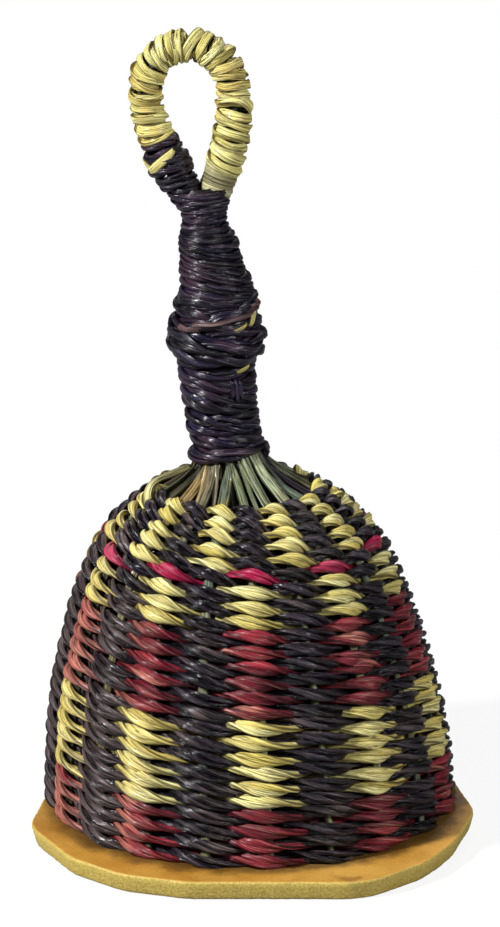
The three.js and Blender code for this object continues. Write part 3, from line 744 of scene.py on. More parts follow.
def straw_finish(name, colours, roughness, stain_and_side_light_share=0.6, relief=0.5, gloss=0.25, weathering=0.0):
    """Straw in the colours deep, pale, stain, crease and rub; the crease is painted shade, the rub and
    stain partly painted light.
    """
    deep, pale, stain_and_side_light, crease, rub_and_highlight = colours
    material, tree = new_finish(name)
    given = {"Weathering": weathering}
    for label, output in (("section", "Vector"), ("along", "Fac"), ("tone", "Fac"), ("straw", "Fac")):
        reader = put(tree, "ShaderNodeAttribute", output=output, attribute_name=label)
        given[label.capitalize()] = reader
    fibres = tree.nodes.new("ShaderNodeGroup")
    fibres.node_tree = straw_fibres
    fill(tree, fibres, given)
    masks = fibres.outputs
    body = blend_colour(tree, masks["Shade"], deep, pale)
    for label, share, tint in (
        ("Stain", stain_and_side_light_share, stain_and_side_light),
        ("Rub", RUB_AND_HIGHLIGHT_SHARE, rub_and_highlight),
        ("Crease", CREASE_SHADE_SHARE, crease),
        ("Edge", CREASE_SHADE_SHARE, crease),
    ):
        body = blend_colour(tree, stretch_value(tree, masks[label], 0, 1, 0, share), body, tint)
    surface = {
        "Base Color": body,
        "Roughness": stretch_value(tree, masks["Shade"], 0, 1, *roughness),
        "Specular IOR Level": gloss,
        "Coat Weight": COAT_SHARE * gloss,
        "Coat Roughness": COAT_ROUGHNESS,
        "Normal": bumps(tree, masks["Height"], RIB_HEIGHT, relief),
    }
    fill(tree, tree.nodes["Principled BSDF"], surface)
    return material


CANE_COLOURS = {
    "pale": ((136, 150, 114), (230, 236, 192), (150, 144, 88), (24, 28, 16), (246, 248, 222)),
    "green": ((76, 88, 70), (190, 200, 160), (122, 112, 66), (14, 18, 12), (226, 230, 194)),
    "teal": ((34, 44, 38), (118, 132, 112), (128, 120, 74), (8, 12, 10), (184, 194, 170)),
    "tan": ((100, 78, 44), (202, 172, 108), (104, 104, 78), (22, 14, 6), (236, 214, 168)),
    "grey": ((94, 82, 62), (200, 182, 136), (96, 98, 74), (18, 14, 10), (232, 220, 190)),
    "dark": ((32, 26, 38), (92, 80, 98), (84, 88, 76), (8, 6, 10), (160, 148, 160)),
}
FRONT_TINTS = ("pale", "pale", "green", "teal", "dark")
BACK_TINTS = ("green", "tan", "pale", "dark", "green", "grey", "green", "pale", "dark", "tan")
LEFT_TINTS = ("green", "grey", "tan", "grey", "teal")
cane_finishes = {
    tint: straw_finish(
        "cane_" + tint, colours, roughness=(0.4, 0.6), stain_and_side_light_share=0.8, relief=0.8, weathering=0.11
    )
    for tint, colours in CANE_COLOURS.items()
}
stake_tints = FRONT_TINTS + BACK_TINTS + LEFT_TINTS
stake_bearings = np.radians(FIRST_STAKE_BEARING + 360 / STAKE_COUNT * np.arange(STAKE_COUNT))
stake_draws = np.random.default_rng(11)


def gathered_stake(bearing, levels, inset, neck_offset, top_heights):
    """The line of a stake up the wall at a bearing, bent in at the neck and on up inside the grip."""
    middle, outward = wall_line(levels)[:2]
    middle = middle - inset * outward
    wall_x = lean(middle[:, 1]) + middle[:, 0] * math.cos(bearing)
    wall = np.stack([wall_x, middle[:, 0] * math.sin(bearing), middle[:, 1]], 1)
    neck = (lean(NECK_HEIGHT) + neck_offset[0], neck_offset[1], NECK_HEIGHT)
    into_grip = (lean(NECK_TOP) + neck_offset[0], neck_offset[1], NECK_TOP)
    gathered = bend(wall[-1], neck, into_grip, np.linspace(0, 1, NECK_STEPS)[1:])
    drawn_in = np.interp(top_heights, *np.transpose(STAKE_DRAWN_IN))
    rise_x = lean(top_heights) + neck_offset[0] * drawn_in
    rising = np.stack([rise_x, neck_offset[1] * drawn_in, top_heights], 1)
    return np.vstack([wall, gathered, rising])


for stake_name, bearing, tint in zip(stake_names, stake_bearings, stake_tints):
    stake_points = node_points(stake_name) / MM
    tip = stake_points[stake_points[:, 2] > stake_points[:, 2].max() - TIP_SLICE].mean(axis=0)
    neck_offset = (tip[0] - lean(tip[2]), tip[1]) + stake_draws.normal(0, NECK_WANDER, 2)
    top_heights = np.linspace(NECK_TOP, tip[2], RISING_STEPS)[1:]
    points = gathered_stake(bearing, np.linspace(0, 1, STAKE_STEPS), 0, neck_offset, top_heights)
    points = np.vstack([(points[0, 0], points[0, 1], FOOT_HEIGHT), points])
    faced = bearing + stake_draws.normal(0, STAKE_TURN)
    turned_out = np.array((math.cos(faced), math.sin(faced), STAKE_FACING_UP))
    size = 1 + STAKE_WIDTH_SPREAD * stake_draws.standard_normal()
    widths = size * np.interp(points[:, 2], *np.transpose(STAKE_WIDTHS))
    depths = np.interp(points[:, 2], *np.transpose(STAKE_DEPTHS))
    outward = np.tile(turned_out / np.linalg.norm(turned_out), (len(points), 1))
    straws = [strand(points, outward, widths, depths, stake_draws.uniform(*STAKE_SHADES))]
    between = bearing + math.pi / STAKE_COUNT * stake_draws.uniform(*SLIVER_ASIDE)
    beside = (SLIVER_NECK_RADIUS * math.cos(between), SLIVER_NECK_RADIUS * math.sin(between))
    sliver_levels = np.linspace(*SLIVER_LEVELS, SLIVER_STEPS)
    sliver = gathered_stake(between, sliver_levels, SLIVER_INSET, beside, np.array((SLIVER_TOP,)))
    outward = np.tile(turned_out, (len(sliver), 1))
    straws.append(strand(sliver, outward, *SLIVER_HALF_SIZES, stake_draws.uniform(*SLIVER_SHADES)))
    stake = straw_piece(
        "cane_" + stake_name,
        straws,
        cane_finishes[tint],
        crease=0.3,
        ripple=0.25,
        seed=stake_draws.uniform(0, 9),
    )
    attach(stake, "basket")
    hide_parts(stake_name)

# The weft: rows of twining, each a dyed or plain strand and a dark strand that cross between the stakes.
# A coloured strand is two soft flat straws twisted together, so each float over a stake shows two leaf
# shapes. A dark strand is three thinner straws. One yellow end is bent over the top row at the left.
WEFT_BANDS = (
    ("weft_red_lower", "red", 4),
    ("weft_yellow_lower", "yellow", 6),
    ("weft_red_upper", "red", 6),
    ("weft_yellow_upper", "yellow", 3),
    ("weft_crimson", "crimson", 1),
    ("weft_yellow_crown", "yellow", 5),
)
WEFT_ROWS = sum(band_rows for band, colour, band_rows in WEFT_BANDS)
WEFT_SEAM = 11
SWAPPED_ROWS = 20
FLOAT_STEPS = 14
FLOAT_REACH = 2.3
FLOAT_THINNING = 0.14
CROSSING_RISE = 0.85
CROSSING_PINCH = 4
END_TAPER = 0.36
FLAT_STRAND = {"count": 2, "out": 0.94, "up": 0.94, "half_sizes": (1.17, 0.95)}
THIN_STRAND = {"count": 3, "out": 0.784, "up": 1.12, "half_sizes": (0.98, 0.85)}
TURN_WANDER = 0.13
LIFT_WANDER = 0.27
PROUD_WANDER = 0.1
TWIST_LEAD = 0.12
TWIST_WANDER = 0.22
SWELL_WANDER = 0.1
BENT_END = (
    (-17.5, -4.0, 102.4),
    (-22.0, -4.6, 100.6),
    (-25.6, -5.0, 99.2),
    (-27.9, -5.6, 97.6),
    (-28.8, -6.6, 95.0),
    (-28.4, -8.0, 92.2),
    (-27.2, -8.6, 89.6),
)
BENT_END_HALF_SIZES = (1.15, 0.6)
BENT_END_STEPS = 40
BENT_END_FACING = (-0.45, -0.6, 0.66)
BENT_END_SHADE = (-0.7, 2.2)
BENT_END_APART = (0.24, -0.48, 0.4)
BENT_END_OPENING = 3
weft_finishes = {
    "yellow": straw_finish(
        "straw_yellow",
        ((218, 198, 100), (253, 246, 174), (228, 200, 112), (40, 28, 6), (253, 248, 202)),
        roughness=(0.44, 0.28),
        stain_and_side_light_share=0.5,
        relief=0.8,
    ),
    "red": straw_finish(
        "straw_red",
        ((98, 20, 34), (158, 46, 60), (204, 128, 110), (20, 4, 8), (236, 200, 176)),
        roughness=(0.4, 0.24),
        stain_and_side_light_share=0.75,
        relief=0.8,
        weathering=-0.04,
    ),
    "crimson": straw_finish(
        "straw_crimson",
        ((140, 14, 54), (196, 36, 84), (208, 92, 116), (40, 4, 18), (240, 160, 176)),
        roughness=(0.4, 0.26),
        stain_and_side_light_share=0.4,
        gloss=0.2,
    ),
    "dark": straw_finish(
        "straw_dark",
        ((8, 6, 10), (56, 48, 60), (110, 94, 92), (2, 1, 2), (168, 152, 152)),
        roughness=(0.28, 0.14),
        stain_and_side_light_share=0.65,
        relief=0.8,
        gloss=0.32,
    ),
}


def smooth_run(values, spots):
    """A smooth closed run through values, read at spots counted in values."""
    before = np.floor(spots).astype(int)
    share = eased(spots - before)
    count = len(values)
    return values[before % count] * (1 - share) + values[(before + 1) % count] * share


def twined_straws(row, front_stake, strand_kind, draws):
    """The straws of one strand in one row, which lies in front at front_stake and every second one on."""
    middle, outward, upward = (part[0] for part in wall_line([(row + 0.5) / WEFT_ROWS]))
    spots = front_stake + WEFT_SEAM + np.arange(STAKE_COUNT * FLOAT_STEPS) / FLOAT_STEPS
    bearing = math.radians(FIRST_STAKE_BEARING) + 2 * math.pi * spots / STAKE_COUNT

    def uneven(size, middle_value=0):
        return smooth_run(draws.normal(middle_value, size, STAKE_COUNT), spots)

    turn = math.pi * (spots - front_stake) + uneven(TURN_WANDER)
    lifted = uneven(LIFT_WANDER)
    proud = uneven(PROUD_WANDER)
    pinched = np.sin(turn) ** CROSSING_PINCH
    half_width, half_depth = strand_kind["half_sizes"]
    straws = []
    for straw in range(strand_kind["count"]):
        twist = turn + uneven(TWIST_WANDER, TWIST_LEAD)
        swell = 1 + uneven(SWELL_WANDER)
        shade = smooth_run(draws.uniform(0, 1, STAKE_COUNT), spots)
        place = twist + 2 * math.pi * straw / strand_kind["count"]
        faced = twist + math.pi / 2 if strand_kind is FLAT_STRAND else place
        out = FLOAT_REACH * np.cos(turn) + strand_kind["out"] * np.sin(place) + proud
        up = -CROSSING_RISE * np.sin(turn) + strand_kind["up"] * np.cos(place) + lifted
        radius, height = middle[:, None] + np.outer(outward, out) + np.outer(upward, up)
        points = np.stack([lean(height) + radius * np.cos(bearing), radius * np.sin(bearing), height], 1)
        facing_out, facing_up = np.outer(outward, np.sin(faced)) + np.outer(upward, np.cos(faced))
        facing = np.stack([facing_out * np.cos(bearing), facing_out * np.sin(bearing), facing_up], 1)
        widths = half_width * swell * (1 - END_TAPER * pinched)
        depths = half_depth * (1 - FLOAT_THINNING * (1 - pinched))
        straws.append(strand(points, facing, widths, depths, shade, closed=True))
    return straws


weft_draws = np.random.default_rng(23)
weft_row = 0
for band, colour, band_rows in WEFT_BANDS:
    band_straws = []
    dark_straws = []
    for row in range(weft_row, weft_row + band_rows):
        swapped = int(row >= SWAPPED_ROWS)
        band_straws += twined_straws(row, swapped, FLAT_STRAND, weft_draws)
        dark_straws += twined_straws(row, 1 - swapped, THIN_STRAND, weft_draws)
    weft_row += band_rows
    for strand_name, straws, tint in ((band, band_straws, colour), (band + "_dark", dark_straws, "dark")):
        weft = straw_piece(
            "straw_" + strand_name,
            straws,
            weft_finishes[tint],
            edge=1.3,
            crease=0.15,
            pleats=0.7,
            ripple=0.22,
            seed=weft_row,
            cuts=6,
        )
        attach(weft, "basket")
        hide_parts(band)

bent_shares = np.linspace(0, 1, BENT_END_STEPS)
bent_knots = np.linspace(0, 1, len(BENT_END))
bent_sides = [smooth_line(list(zip(bent_knots, side)), bent_shares) for side in zip(*BENT_END)]
bent_line = np.stack(bent_sides, 1)
bent_facing = np.tile(BENT_END_FACING, (BENT_END_STEPS, 1))
bent_shade = np.clip(BENT_END_SHADE[0] + BENT_END_SHADE[1] * bent_shares, 0, 1)
bent_parting = np.outer(np.sin(BENT_END_OPENING * bent_shares), BENT_END_APART) / 2
bent_straws = [
    strand(bent_line + side * bent_parting, bent_facing, *BENT_END_HALF_SIZES, bent_shade)
    for side in (-1, 1)
]
bent_finish = straw_finish(
    "straw_bent",
    ((92, 86, 50), (236, 226, 144), (132, 116, 66), (30, 24, 8), (246, 240, 196)),
    roughness=(0.44, 0.28),
    relief=0.8,
)
bent_end = straw_piece("bent_yellow_end", bent_straws, bent_finish, edge=1.3, seed=2)
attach(bent_end, "basket")
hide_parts("weft_yellow_crown")

# The loop canes: three thin stalks bent over into a pointed loop for a finger, their legs run down
# between the stakes inside the grip. They show only in the gaps of the binding.
PARTING_HEIGHT = 172.2
LOOP_HEIGHT = 45.7
LOOP_HALF_WIDTH = 11.43
LOOP_FULLEST = 0.702
LOOP_POINTEDNESS = 1.5
LOOP_STEPS = 401
LEG_OFFSET = 1.733
LEG_FOOT_HEIGHT = 129.0
LEG_STEPS = 14
CANE_COUNT = 3
CANE_STEPS = 90
CANE_FIRST_PLACE = 0.25
CANE_SPREAD = 1.5
CANE_HALF_SIZE = 1.1
CANE_SHADES = (0.1, 0.3, 0.5)
CANE_TINTS = ("green", "dark", "dark")
RIGHT_LIMB_DRAWN_IN = 1.2
RIGHT_LIMB_MIDDLE = 0.68
RIGHT_LIMB_REACH = 0.13
SIDEWAYS = np.array((0.0, 1.0, 0.0))


def loop_line(shares):
    """Middle line of the loop, from the parting up the left leg, over the top and down the right leg."""
    turn = 2 * math.pi * shares
    height = PARTING_HEIGHT + LOOP_HEIGHT * (1 - np.cos(turn)) / 2
    swing = np.sin(turn) * np.sin(turn / 2) ** LOOP_POINTEDNESS * LOOP_HALF_WIDTH / LOOP_FULLEST
    drawn_in = RIGHT_LIMB_DRAWN_IN * np.exp(-(((shares - RIGHT_LIMB_MIDDLE) / RIGHT_LIMB_REACH) ** 2))
    x = lean(height) - swing - LEG_OFFSET * np.cos(turn / 2) - drawn_in
    return np.stack([x, np.zeros(len(x)), height], 1)


def along_loop(spots):
    """Middle points and in-plane outward direction at shares of the loop's length."""
    line = loop_line(np.linspace(0, 1, LOOP_STEPS))
    run = run_along(line)
    wanted = np.asarray(spots, float) * run[-1]
    heading = unit_rows(along_line(wanted, run, np.gradient(line, run, axis=0)))
    outward = np.stack([-heading[:, 2], np.zeros(len(wanted)), heading[:, 0]], 1)
    return along_line(wanted, run, line), outward


for number, (shade, tint) in enumerate(zip(CANE_SHADES, CANE_TINTS)):
    cane_name = f"loop_cane_{number + 1:02d}"
    middle, outward = along_loop(np.linspace(0, 1, CANE_STEPS))
    place = 2 * math.pi * (number + CANE_FIRST_PLACE) / CANE_COUNT
    bow = middle + CANE_SPREAD * (math.cos(place) * outward + math.sin(place) * SIDEWAYS)
    leg_heights = np.linspace(LEG_FOOT_HEIGHT, PARTING_HEIGHT, LEG_STEPS)[:-1]
    legs = []
    for end in (bow[0], bow[-1]):
        leg_x = end[0] - lean(PARTING_HEIGHT) + lean(leg_heights)
        legs.append(np.stack([leg_x, np.full(len(leg_heights), end[1]), leg_heights], 1))
    points = np.vstack([legs[0], bow, legs[1][::-1]])
    facing = np.tile(SIDEWAYS, (len(points), 1))
    cane = straw_piece(
        "stalk_" + cane_name,
        [strand(points, facing, CANE_HALF_SIZE, CANE_HALF_SIZE, shade)],
        cane_finishes[tint],
        crease=0.1,
        seed=3 + number,
    )
    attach(cane, "basket")
    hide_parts(cane_name)

# The grip binding: a strand of three thin dark straws, twisted together and wound tightly round the
# gathered stakes over a first plain layer, from a wide collar at the neck up to where the legs of the
# loop part. A few ends of dark and yellow straw are tucked under the turns.
GRIP_BOTTOM = 104.8
GRIP_TOP = 179.2
GRIP_LEVELS = 400
GRIP_PITCH = 2.1
GRIP_COARSENESS = ((100.0, 1.5), (128.0, 1.5), (140.0, 1.3), (156.0, 1.0), (180.0, 1.0))
GRIP_END_TURN = 0.25
GRIP_OUTLINE = (
    (103.0, 11.3),
    (105.6, 11.2),
    (110.0, 9.9),
    (116.0, 9.9),
    (124.0, 10.3),
    (132.0, 10.6),
    (143.0, 10.6),
    (152.5, 10.0),
    (156.0, 9.0),
    (160.0, 8.4),
    (166.0, 7.6),
    (170.5, 6.1),
    (175.0, 6.9),
    (180.0, 8.8),
)
GRIP_DEPTH_ABOVE = (169.0, 6.2)
GRIP_STRAWS = 3
GRIP_STRAWS_APART = 0.72
GRIP_HALF_WIDTH = 0.72
GRIP_HALF_DEPTH = 0.62
GRIP_TWIST_LENGTH = 30.0
GRIP_SHADE = 0.4
GRIP_TILT = (10, 0.7)
GRIP_WAVER = (110, 0.28)
GRIP_SWELL = (200, 0.22)
GRIP_TOP_TILT = 1.2
GRIP_TOP_TILTED = (168.0, 178.0)
UNDER_LAYER_DEPTH = 1.5
UNDER_LAYER_HALF_WIDTH = 1.8
UNDER_LAYER_HALF_DEPTH = 0.6
TURN_STEPS = 40
TWIST_WAVER = (12, 0.5)
WIDTH_WAVER = (16, 0.22)
SHADE_WAVER = (20, 0.3)
STRAND_FLATNESS = 0.6
STRAND_FACING_ASIDE = 0.6
TUCK_STEPS = 40
TUCK_SOFTENING = 7
TUCK_DEPTH = 2
TUCK_SHARPNESS = 8
TUCKED_END = 0.12
TUCKED_DEPTH = (0.15, 0.5)
TUFT = (
    ((-69, 128.2), (-66, 125.4), (-69, 123.2)),
    ((-62, 128.4), (-61, 125.0), (-62, 122.0)),
    ((-55, 128.0), (-56, 125.2), (-53, 122.8)),
)
TUFT_STRAW = {"bared": 0.55, "half_width": 0.8, "tone": 1.0}
YELLOW_SLIVER = ((-62, 130.2), (-46, 130.9), (-32, 131.6))
YELLOW_SLIVER_STRAW = {"bared": 0.2, "half_width": 0.6, "tone": 0.2}
PALE_SLIVER = ((-164, 129.8), (-130, 128.6), (-96, 127.6))
PALE_SLIVER_STRAW = {"bared": -0.75, "half_width": 0.22, "tone": 0}


def wandering(draws, count, knots, size):
    """A smooth random run of count values with about this many knots."""
    return smooth_run(draws.normal(0, size, knots + 2), np.linspace(0, knots, count))


def wound_round_grip(angles, heights, half_widths, half_depths):
    """Points on an oval round the leaning middle of the grip, and the outward direction there."""
    x = lean(heights) + half_widths * np.cos(angles)
    points = np.stack([x, half_depths * np.sin(angles), heights], 1)
    facing = np.stack([np.cos(angles) / half_widths, np.sin(angles) / half_depths, 0 * angles], 1)
    return points, unit_rows(facing)


def twisted_strand(line, facing, draws, straws, apart, twist_length, half_width, half_depth, tone):
    """Straws twisted together along a line, each with its own shade and swelling."""
    count = len(line)

    def uneven(spacing, size):
        return wandering(draws, count, count // spacing, size)

    run = run_along(line)
    twist = 2 * math.pi * run / twist_length + uneven(*TWIST_WAVER)
    across = unit_rows(np.cross(facing, np.gradient(line, run, axis=0)))
    made = []
    for straw in range(straws):
        place = twist + 2 * math.pi * straw / straws
        lifted = STRAND_FLATNESS * np.sin(place)[:, None] * facing
        aside = np.cos(place)[:, None] * across
        widths = half_width * (1 + uneven(*WIDTH_WAVER))
        shade = np.clip(tone + uneven(*SHADE_WAVER), 0, 1)
        points = line + apart * (lifted + aside)
        made.append(strand(points, facing + STRAND_FACING_ASIDE * aside, widths, half_depth, shade))
    return made


def tucked_ends(count, depth):
    """How much deeper a line lies at each of its points, so that both its ends are tucked in."""
    return depth * np.linspace(-1, 1, count) ** TUCK_SHARPNESS


def slim_ends(count, end):
    """Shares of the width of a straw that narrows towards its ends."""
    return np.sqrt(np.sin(np.linspace(end, math.pi - end, count)))


def tucked_line(stations, outline, bared):
    """A line over the turns of the grip through (bearing, height) stations, with both ends tucked in."""
    shares = np.linspace(0, 1, TUCK_STEPS)
    soft = np.ones(TUCK_SOFTENING) / TUCK_SOFTENING
    softened = []
    for side in zip(*stations):
        values = np.interp(shares, np.linspace(0, 1, len(stations)), side)
        softened.append(np.convolve(np.pad(values, TUCK_SOFTENING // 2, "edge"), soft, "valid"))
    bearings, heights = softened
    reach = smooth_line(outline, heights) + bared - tucked_ends(TUCK_STEPS, TUCK_DEPTH)
    return wound_round_grip(np.radians(bearings), heights, reach, reach)


def tucked_straw(stations, outline, bared, half_width, tone):
    """A short straw laid over the turns, thinner towards its tucked ends."""
    points, facing = tucked_line(stations, outline, bared)
    widths = half_width * slim_ends(TUCK_STEPS, TUCKED_END)
    return strand(points, facing, widths, TUCKED_DEPTH[0] + TUCKED_DEPTH[1] * half_width, tone)


grip_finish = straw_finish(
    "straw_grip",
    ((3, 2, 6), (31, 24, 52), (68, 45, 62), (1, 1, 1), (140, 128, 148)),
    roughness=(0.28, 0.18),
    stain_and_side_light_share=0.7,
    gloss=0.3,
    weathering=0.05,
)
grip_draws = np.random.default_rng(37)
grip_levels = np.linspace(GRIP_BOTTOM, GRIP_TOP, GRIP_LEVELS)
grip_pitches = GRIP_PITCH * smooth_line(GRIP_COARSENESS, grip_levels[:-1])
grip_turned = np.concatenate([[0], np.cumsum(np.diff(grip_levels) / grip_pitches)])
grip_count = int(grip_turned[-1] * TURN_STEPS)
grip_turns = np.linspace(0, grip_turned[-1], grip_count)
grip_angles = 2 * math.pi * (grip_turns - grip_turned[-1] + GRIP_END_TURN)
grip_heights = np.interp(grip_turns, grip_turned, grip_levels)
grip_coarse = smooth_line(GRIP_COARSENESS, grip_heights)
grip_tilt = wandering(grip_draws, grip_count, *GRIP_TILT) * grip_coarse
grip_tilt = grip_tilt + np.interp(grip_heights, GRIP_TOP_TILTED, (0, GRIP_TOP_TILT))
grip_heights = grip_heights + wandering(grip_draws, grip_count, *GRIP_WAVER) * grip_coarse
grip_heights = grip_heights + grip_tilt * np.cos(grip_angles)
grip_rise = wandering(grip_draws, grip_count, *GRIP_SWELL)
grip_widths = smooth_line(GRIP_OUTLINE, grip_heights) - GRIP_HALF_DEPTH * grip_coarse + grip_rise
grip_flat = np.minimum(grip_widths, GRIP_DEPTH_ABOVE[1])
grip_depths = np.where(grip_heights > GRIP_DEPTH_ABOVE[0], grip_flat, grip_widths)
grip_line, grip_facing = wound_round_grip(grip_angles, grip_heights, grip_widths, grip_depths)
grip_straws = twisted_strand(
    grip_line,
    grip_facing,
    grip_draws,
    straws=GRIP_STRAWS,
    apart=GRIP_STRAWS_APART * grip_coarse[:, None],
    twist_length=GRIP_TWIST_LENGTH,
    half_width=GRIP_HALF_WIDTH * grip_coarse,
    half_depth=GRIP_HALF_DEPTH * np.sqrt(grip_coarse),
    tone=GRIP_SHADE,
)
under_line = grip_line - UNDER_LAYER_DEPTH * grip_facing
under_widths = UNDER_LAYER_HALF_WIDTH * grip_coarse
# The plain under layer takes the darkest tone, so the gaps between turns read black: painted shade.
grip_straws.append(strand(under_line, grip_facing, under_widths, UNDER_LAYER_HALF_DEPTH, 0))
grip_straws += [tucked_straw(end, GRIP_OUTLINE, **TUFT_STRAW) for end in TUFT]
grip_binding = straw_piece("wound_grip_binding", grip_straws, grip_finish, sides=9, seed=5, cuts=40)
yellow_ends = [
    tucked_straw(YELLOW_SLIVER, GRIP_OUTLINE, **YELLOW_SLIVER_STRAW),
    tucked_straw(PALE_SLIVER, GRIP_OUTLINE, **PALE_SLIVER_STRAW),
]
grip_ends = straw_piece("tucked_grip_ends", yellow_ends, weft_finishes["yellow"], seed=5)
for piece, slot in ((grip_binding, "straw_dark"), (grip_ends, "straw_yellow")):
    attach(piece, "basket")
    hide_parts("grip_binding")

# The bulge binding: a second, thicker layer wound round the middle of the grip. Its strands are twisted
# from two broad straws and cross each other at a slant, so it stands out as a knobbly ring. A strand of
# two brown straws lies over it, and the ends of yellow straw show between the turns.
BULGE_BOTTOM = 133.4
BULGE_TOP = 151.0
BULGE_TURNS = 6
BULGE_START = 2.0
BULGE_OUTLINE = (
    (126.0, 10.8),
    (130.0, 11.2),
    (133.0, 12.5),
    (136.5, 13.6),
    (140.0, 13.0),
    (144.0, 12.5),
    (149.0, 11.6),
    (152.0, 10.9),
    (156.0, 9.6),
)
BULGE_STRAND = {
    "straws": 2,
    "apart": 1.15,
    "twist_length": 26.0,
    "half_width": 1.35,
    "half_depth": 0.85,
    "tone": 0.5,
}
BULGE_INSET = 1.55
BULGE_SLANT = (BULGE_TURNS, 1.4)
BULGE_SLANT_BEARING = 0.6
BULGE_SWELL = (40, 0.35)
BULGE_CROSSINGS = (
    ((-205, 143.0), (-160, 141.6), (-110, 138.4), (-60, 136.6), (-10, 138.6), (30, 141.0)),
    ((-200, 139.4), (-150, 141.0), (-95, 144.4), (-40, 148.2), (5, 150.4)),
    ((20, 137.6), (70, 141.0), (120, 146.4), (165, 148.6)),
    ((40, 146.8), (90, 142.0), (140, 138.0), (175, 137.2)),
)
CROSSINGS_BARED = -0.6
BROWN_LINE = ((-150, 141.6), (-120, 143.2), (-80, 145.0), (-40, 147.2), (-8, 149.0))
BROWN_BARED = 0.3
BROWN_STRAND = {
    "straws": 2,
    "apart": 0.66,
    "twist_length": 20.0,
    "half_width": 0.95,
    "half_depth": 0.6,
    "tone": 0.5,
}
YELLOW_BITS = (
    (((-70, 142.2), (-58, 142.8), (-46, 143.8)), 0.6),
    (((-42, 142.8), (-35, 145.4), (-26, 148.2)), 1.0),
)
YELLOW_BITS_BARED = -0.45
YELLOW_BITS_SHADE = 0.4


def turns_round(turns):
    """The angles of a winding of this many turns."""
    return np.linspace(0, 2 * math.pi * turns, turns * TURN_STEPS)


bulge_draws = np.random.default_rng(41)
bulge_angles = turns_round(BULGE_TURNS) + BULGE_START
bulge_count = len(bulge_angles)
bulge_slant = wandering(bulge_draws, bulge_count, *BULGE_SLANT)
bulge_slant = bulge_slant * np.cos(bulge_angles + BULGE_SLANT_BEARING)
bulge_heights = np.linspace(BULGE_BOTTOM, BULGE_TOP, bulge_count) + bulge_slant
bulge_widths = smooth_line(BULGE_OUTLINE, bulge_heights) - BULGE_INSET
bulge_widths = bulge_widths + wandering(bulge_draws, bulge_count, *BULGE_SWELL)
bulge_lines = [wound_round_grip(bulge_angles, bulge_heights, bulge_widths, bulge_widths)]
bulge_lines += [tucked_line(crossing, BULGE_OUTLINE, CROSSINGS_BARED) for crossing in BULGE_CROSSINGS]
bulge_straws = []
for bulge_line, bulge_facing in bulge_lines:
    bulge_straws += twisted_strand(bulge_line, bulge_facing, bulge_draws, **BULGE_STRAND)
bulge_binding = straw_piece("wound_bulge_binding", bulge_straws, grip_finish, sides=10, seed=6, cuts=16)
brown_finish = straw_finish(
    "straw_brown",
    ((58, 38, 46), (136, 98, 96), (52, 40, 58), (10, 6, 8), (190, 164, 160)),
    roughness=(0.36, 0.22),
)
brown_line, brown_facing = tucked_line(BROWN_LINE, BULGE_OUTLINE, BROWN_BARED)
brown_straws = twisted_strand(brown_line, brown_facing, bulge_draws, **BROWN_STRAND)
bulge_band = straw_piece("brown_bulge_straw", brown_straws, brown_finish, crease=0.3, seed=6)
bulge_bits = [
    tucked_straw(bit, BULGE_OUTLINE, YELLOW_BITS_BARED, half_width, YELLOW_BITS_SHADE)
    for bit, half_width in YELLOW_BITS
]
bulge_ends = straw_piece("tucked_bulge_ends", bulge_bits, weft_finishes["yellow"], seed=6)
bulge_slots = ((bulge_binding, "straw_dark"), (bulge_band, "straw_dark"), (bulge_ends, "straw_yellow"))
for piece, slot in bulge_slots:
    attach(piece, "basket")
    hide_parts("bulge_binding")

# The leg binding: a twisted strand of dark straw wound round the left leg of the loop, thicker towards
# the top, from the parting up to the yellow straw. Yellow strips cross it at a slant.
LEG_RADII = ((0.01, 2.6), (0.05, 3.6), (0.08, 4.1), (0.12, 4.9), (0.15, 5.2), (0.18, 4.8), (0.22, 3.6))
LEG_WINDING = {"ends": (0.012, 0.208), "turns": 9, "waver": (40, 0.003), "swell": (40, 0.2)}
LEG_STRAND = {
    "straws": 3,
    "apart": 0.7,
    "twist_length": 16.0,
    "half_width": 0.75,
    "half_depth": 0.65,
    "tone": 0.35,
}
LEG_STRIPS = ((0.146, -12, 0.178, -130, 1.3), (0.184, 10, 0.152, -50, 1.0))
STRIP_STEPS = 30
STRIP_BARED = 0.8
STRIP_TUCK = 1.5
STRIP_END = 0.15
STRIP_HALF_DEPTH = 0.5
STRIP_SHADE = 0.5


def wound_round_loop(angles, spots, radii):
    """Points wound round the loop's middle line, and the outward direction there."""
    middle, outward = along_loop(spots)
    facing = np.cos(angles)[:, None] * outward + np.sin(angles)[:, None] * SIDEWAYS
    return middle + radii[:, None] * facing, facing


def loop_winding(draws, radii, ends, turns, waver, swell, tilt=None):
    """A winding round a part of the loop, and the outward direction there."""
    angles = turns_round(turns)
    count = len(angles)
    spots = np.linspace(*ends, count) + wandering(draws, count, *waver)
    if tilt:
        spots = spots + wandering(draws, count, *tilt) * np.sin(angles)
    return wound_round_loop(angles, spots, smooth_line(radii, spots) + wandering(draws, count, *swell))


leg_draws = np.random.default_rng(43)
leg_line, leg_facing = loop_winding(leg_draws, LEG_RADII, **LEG_WINDING)
leg_straws = twisted_strand(leg_line, leg_facing, leg_draws, **LEG_STRAND)
leg_binding = straw_piece("wound_leg_binding", leg_straws, grip_finish, crease=0.25, seed=7, cuts=10)
strip_straws = []
for from_spot, from_angle, to_spot, to_angle, strip_width in LEG_STRIPS:
    strip_spots = np.linspace(from_spot, to_spot, STRIP_STEPS)
    strip_angles = np.radians(np.linspace(from_angle, to_angle, STRIP_STEPS))
    strip_radii = smooth_line(LEG_RADII, strip_spots) + STRIP_BARED - tucked_ends(STRIP_STEPS, STRIP_TUCK)
    strip_line, strip_facing = wound_round_loop(strip_angles, strip_spots, strip_radii)
    strip_widths = strip_width * slim_ends(STRIP_STEPS, STRIP_END)
    strip_straws.append(strand(strip_line, strip_facing, strip_widths, STRIP_HALF_DEPTH, STRIP_SHADE))
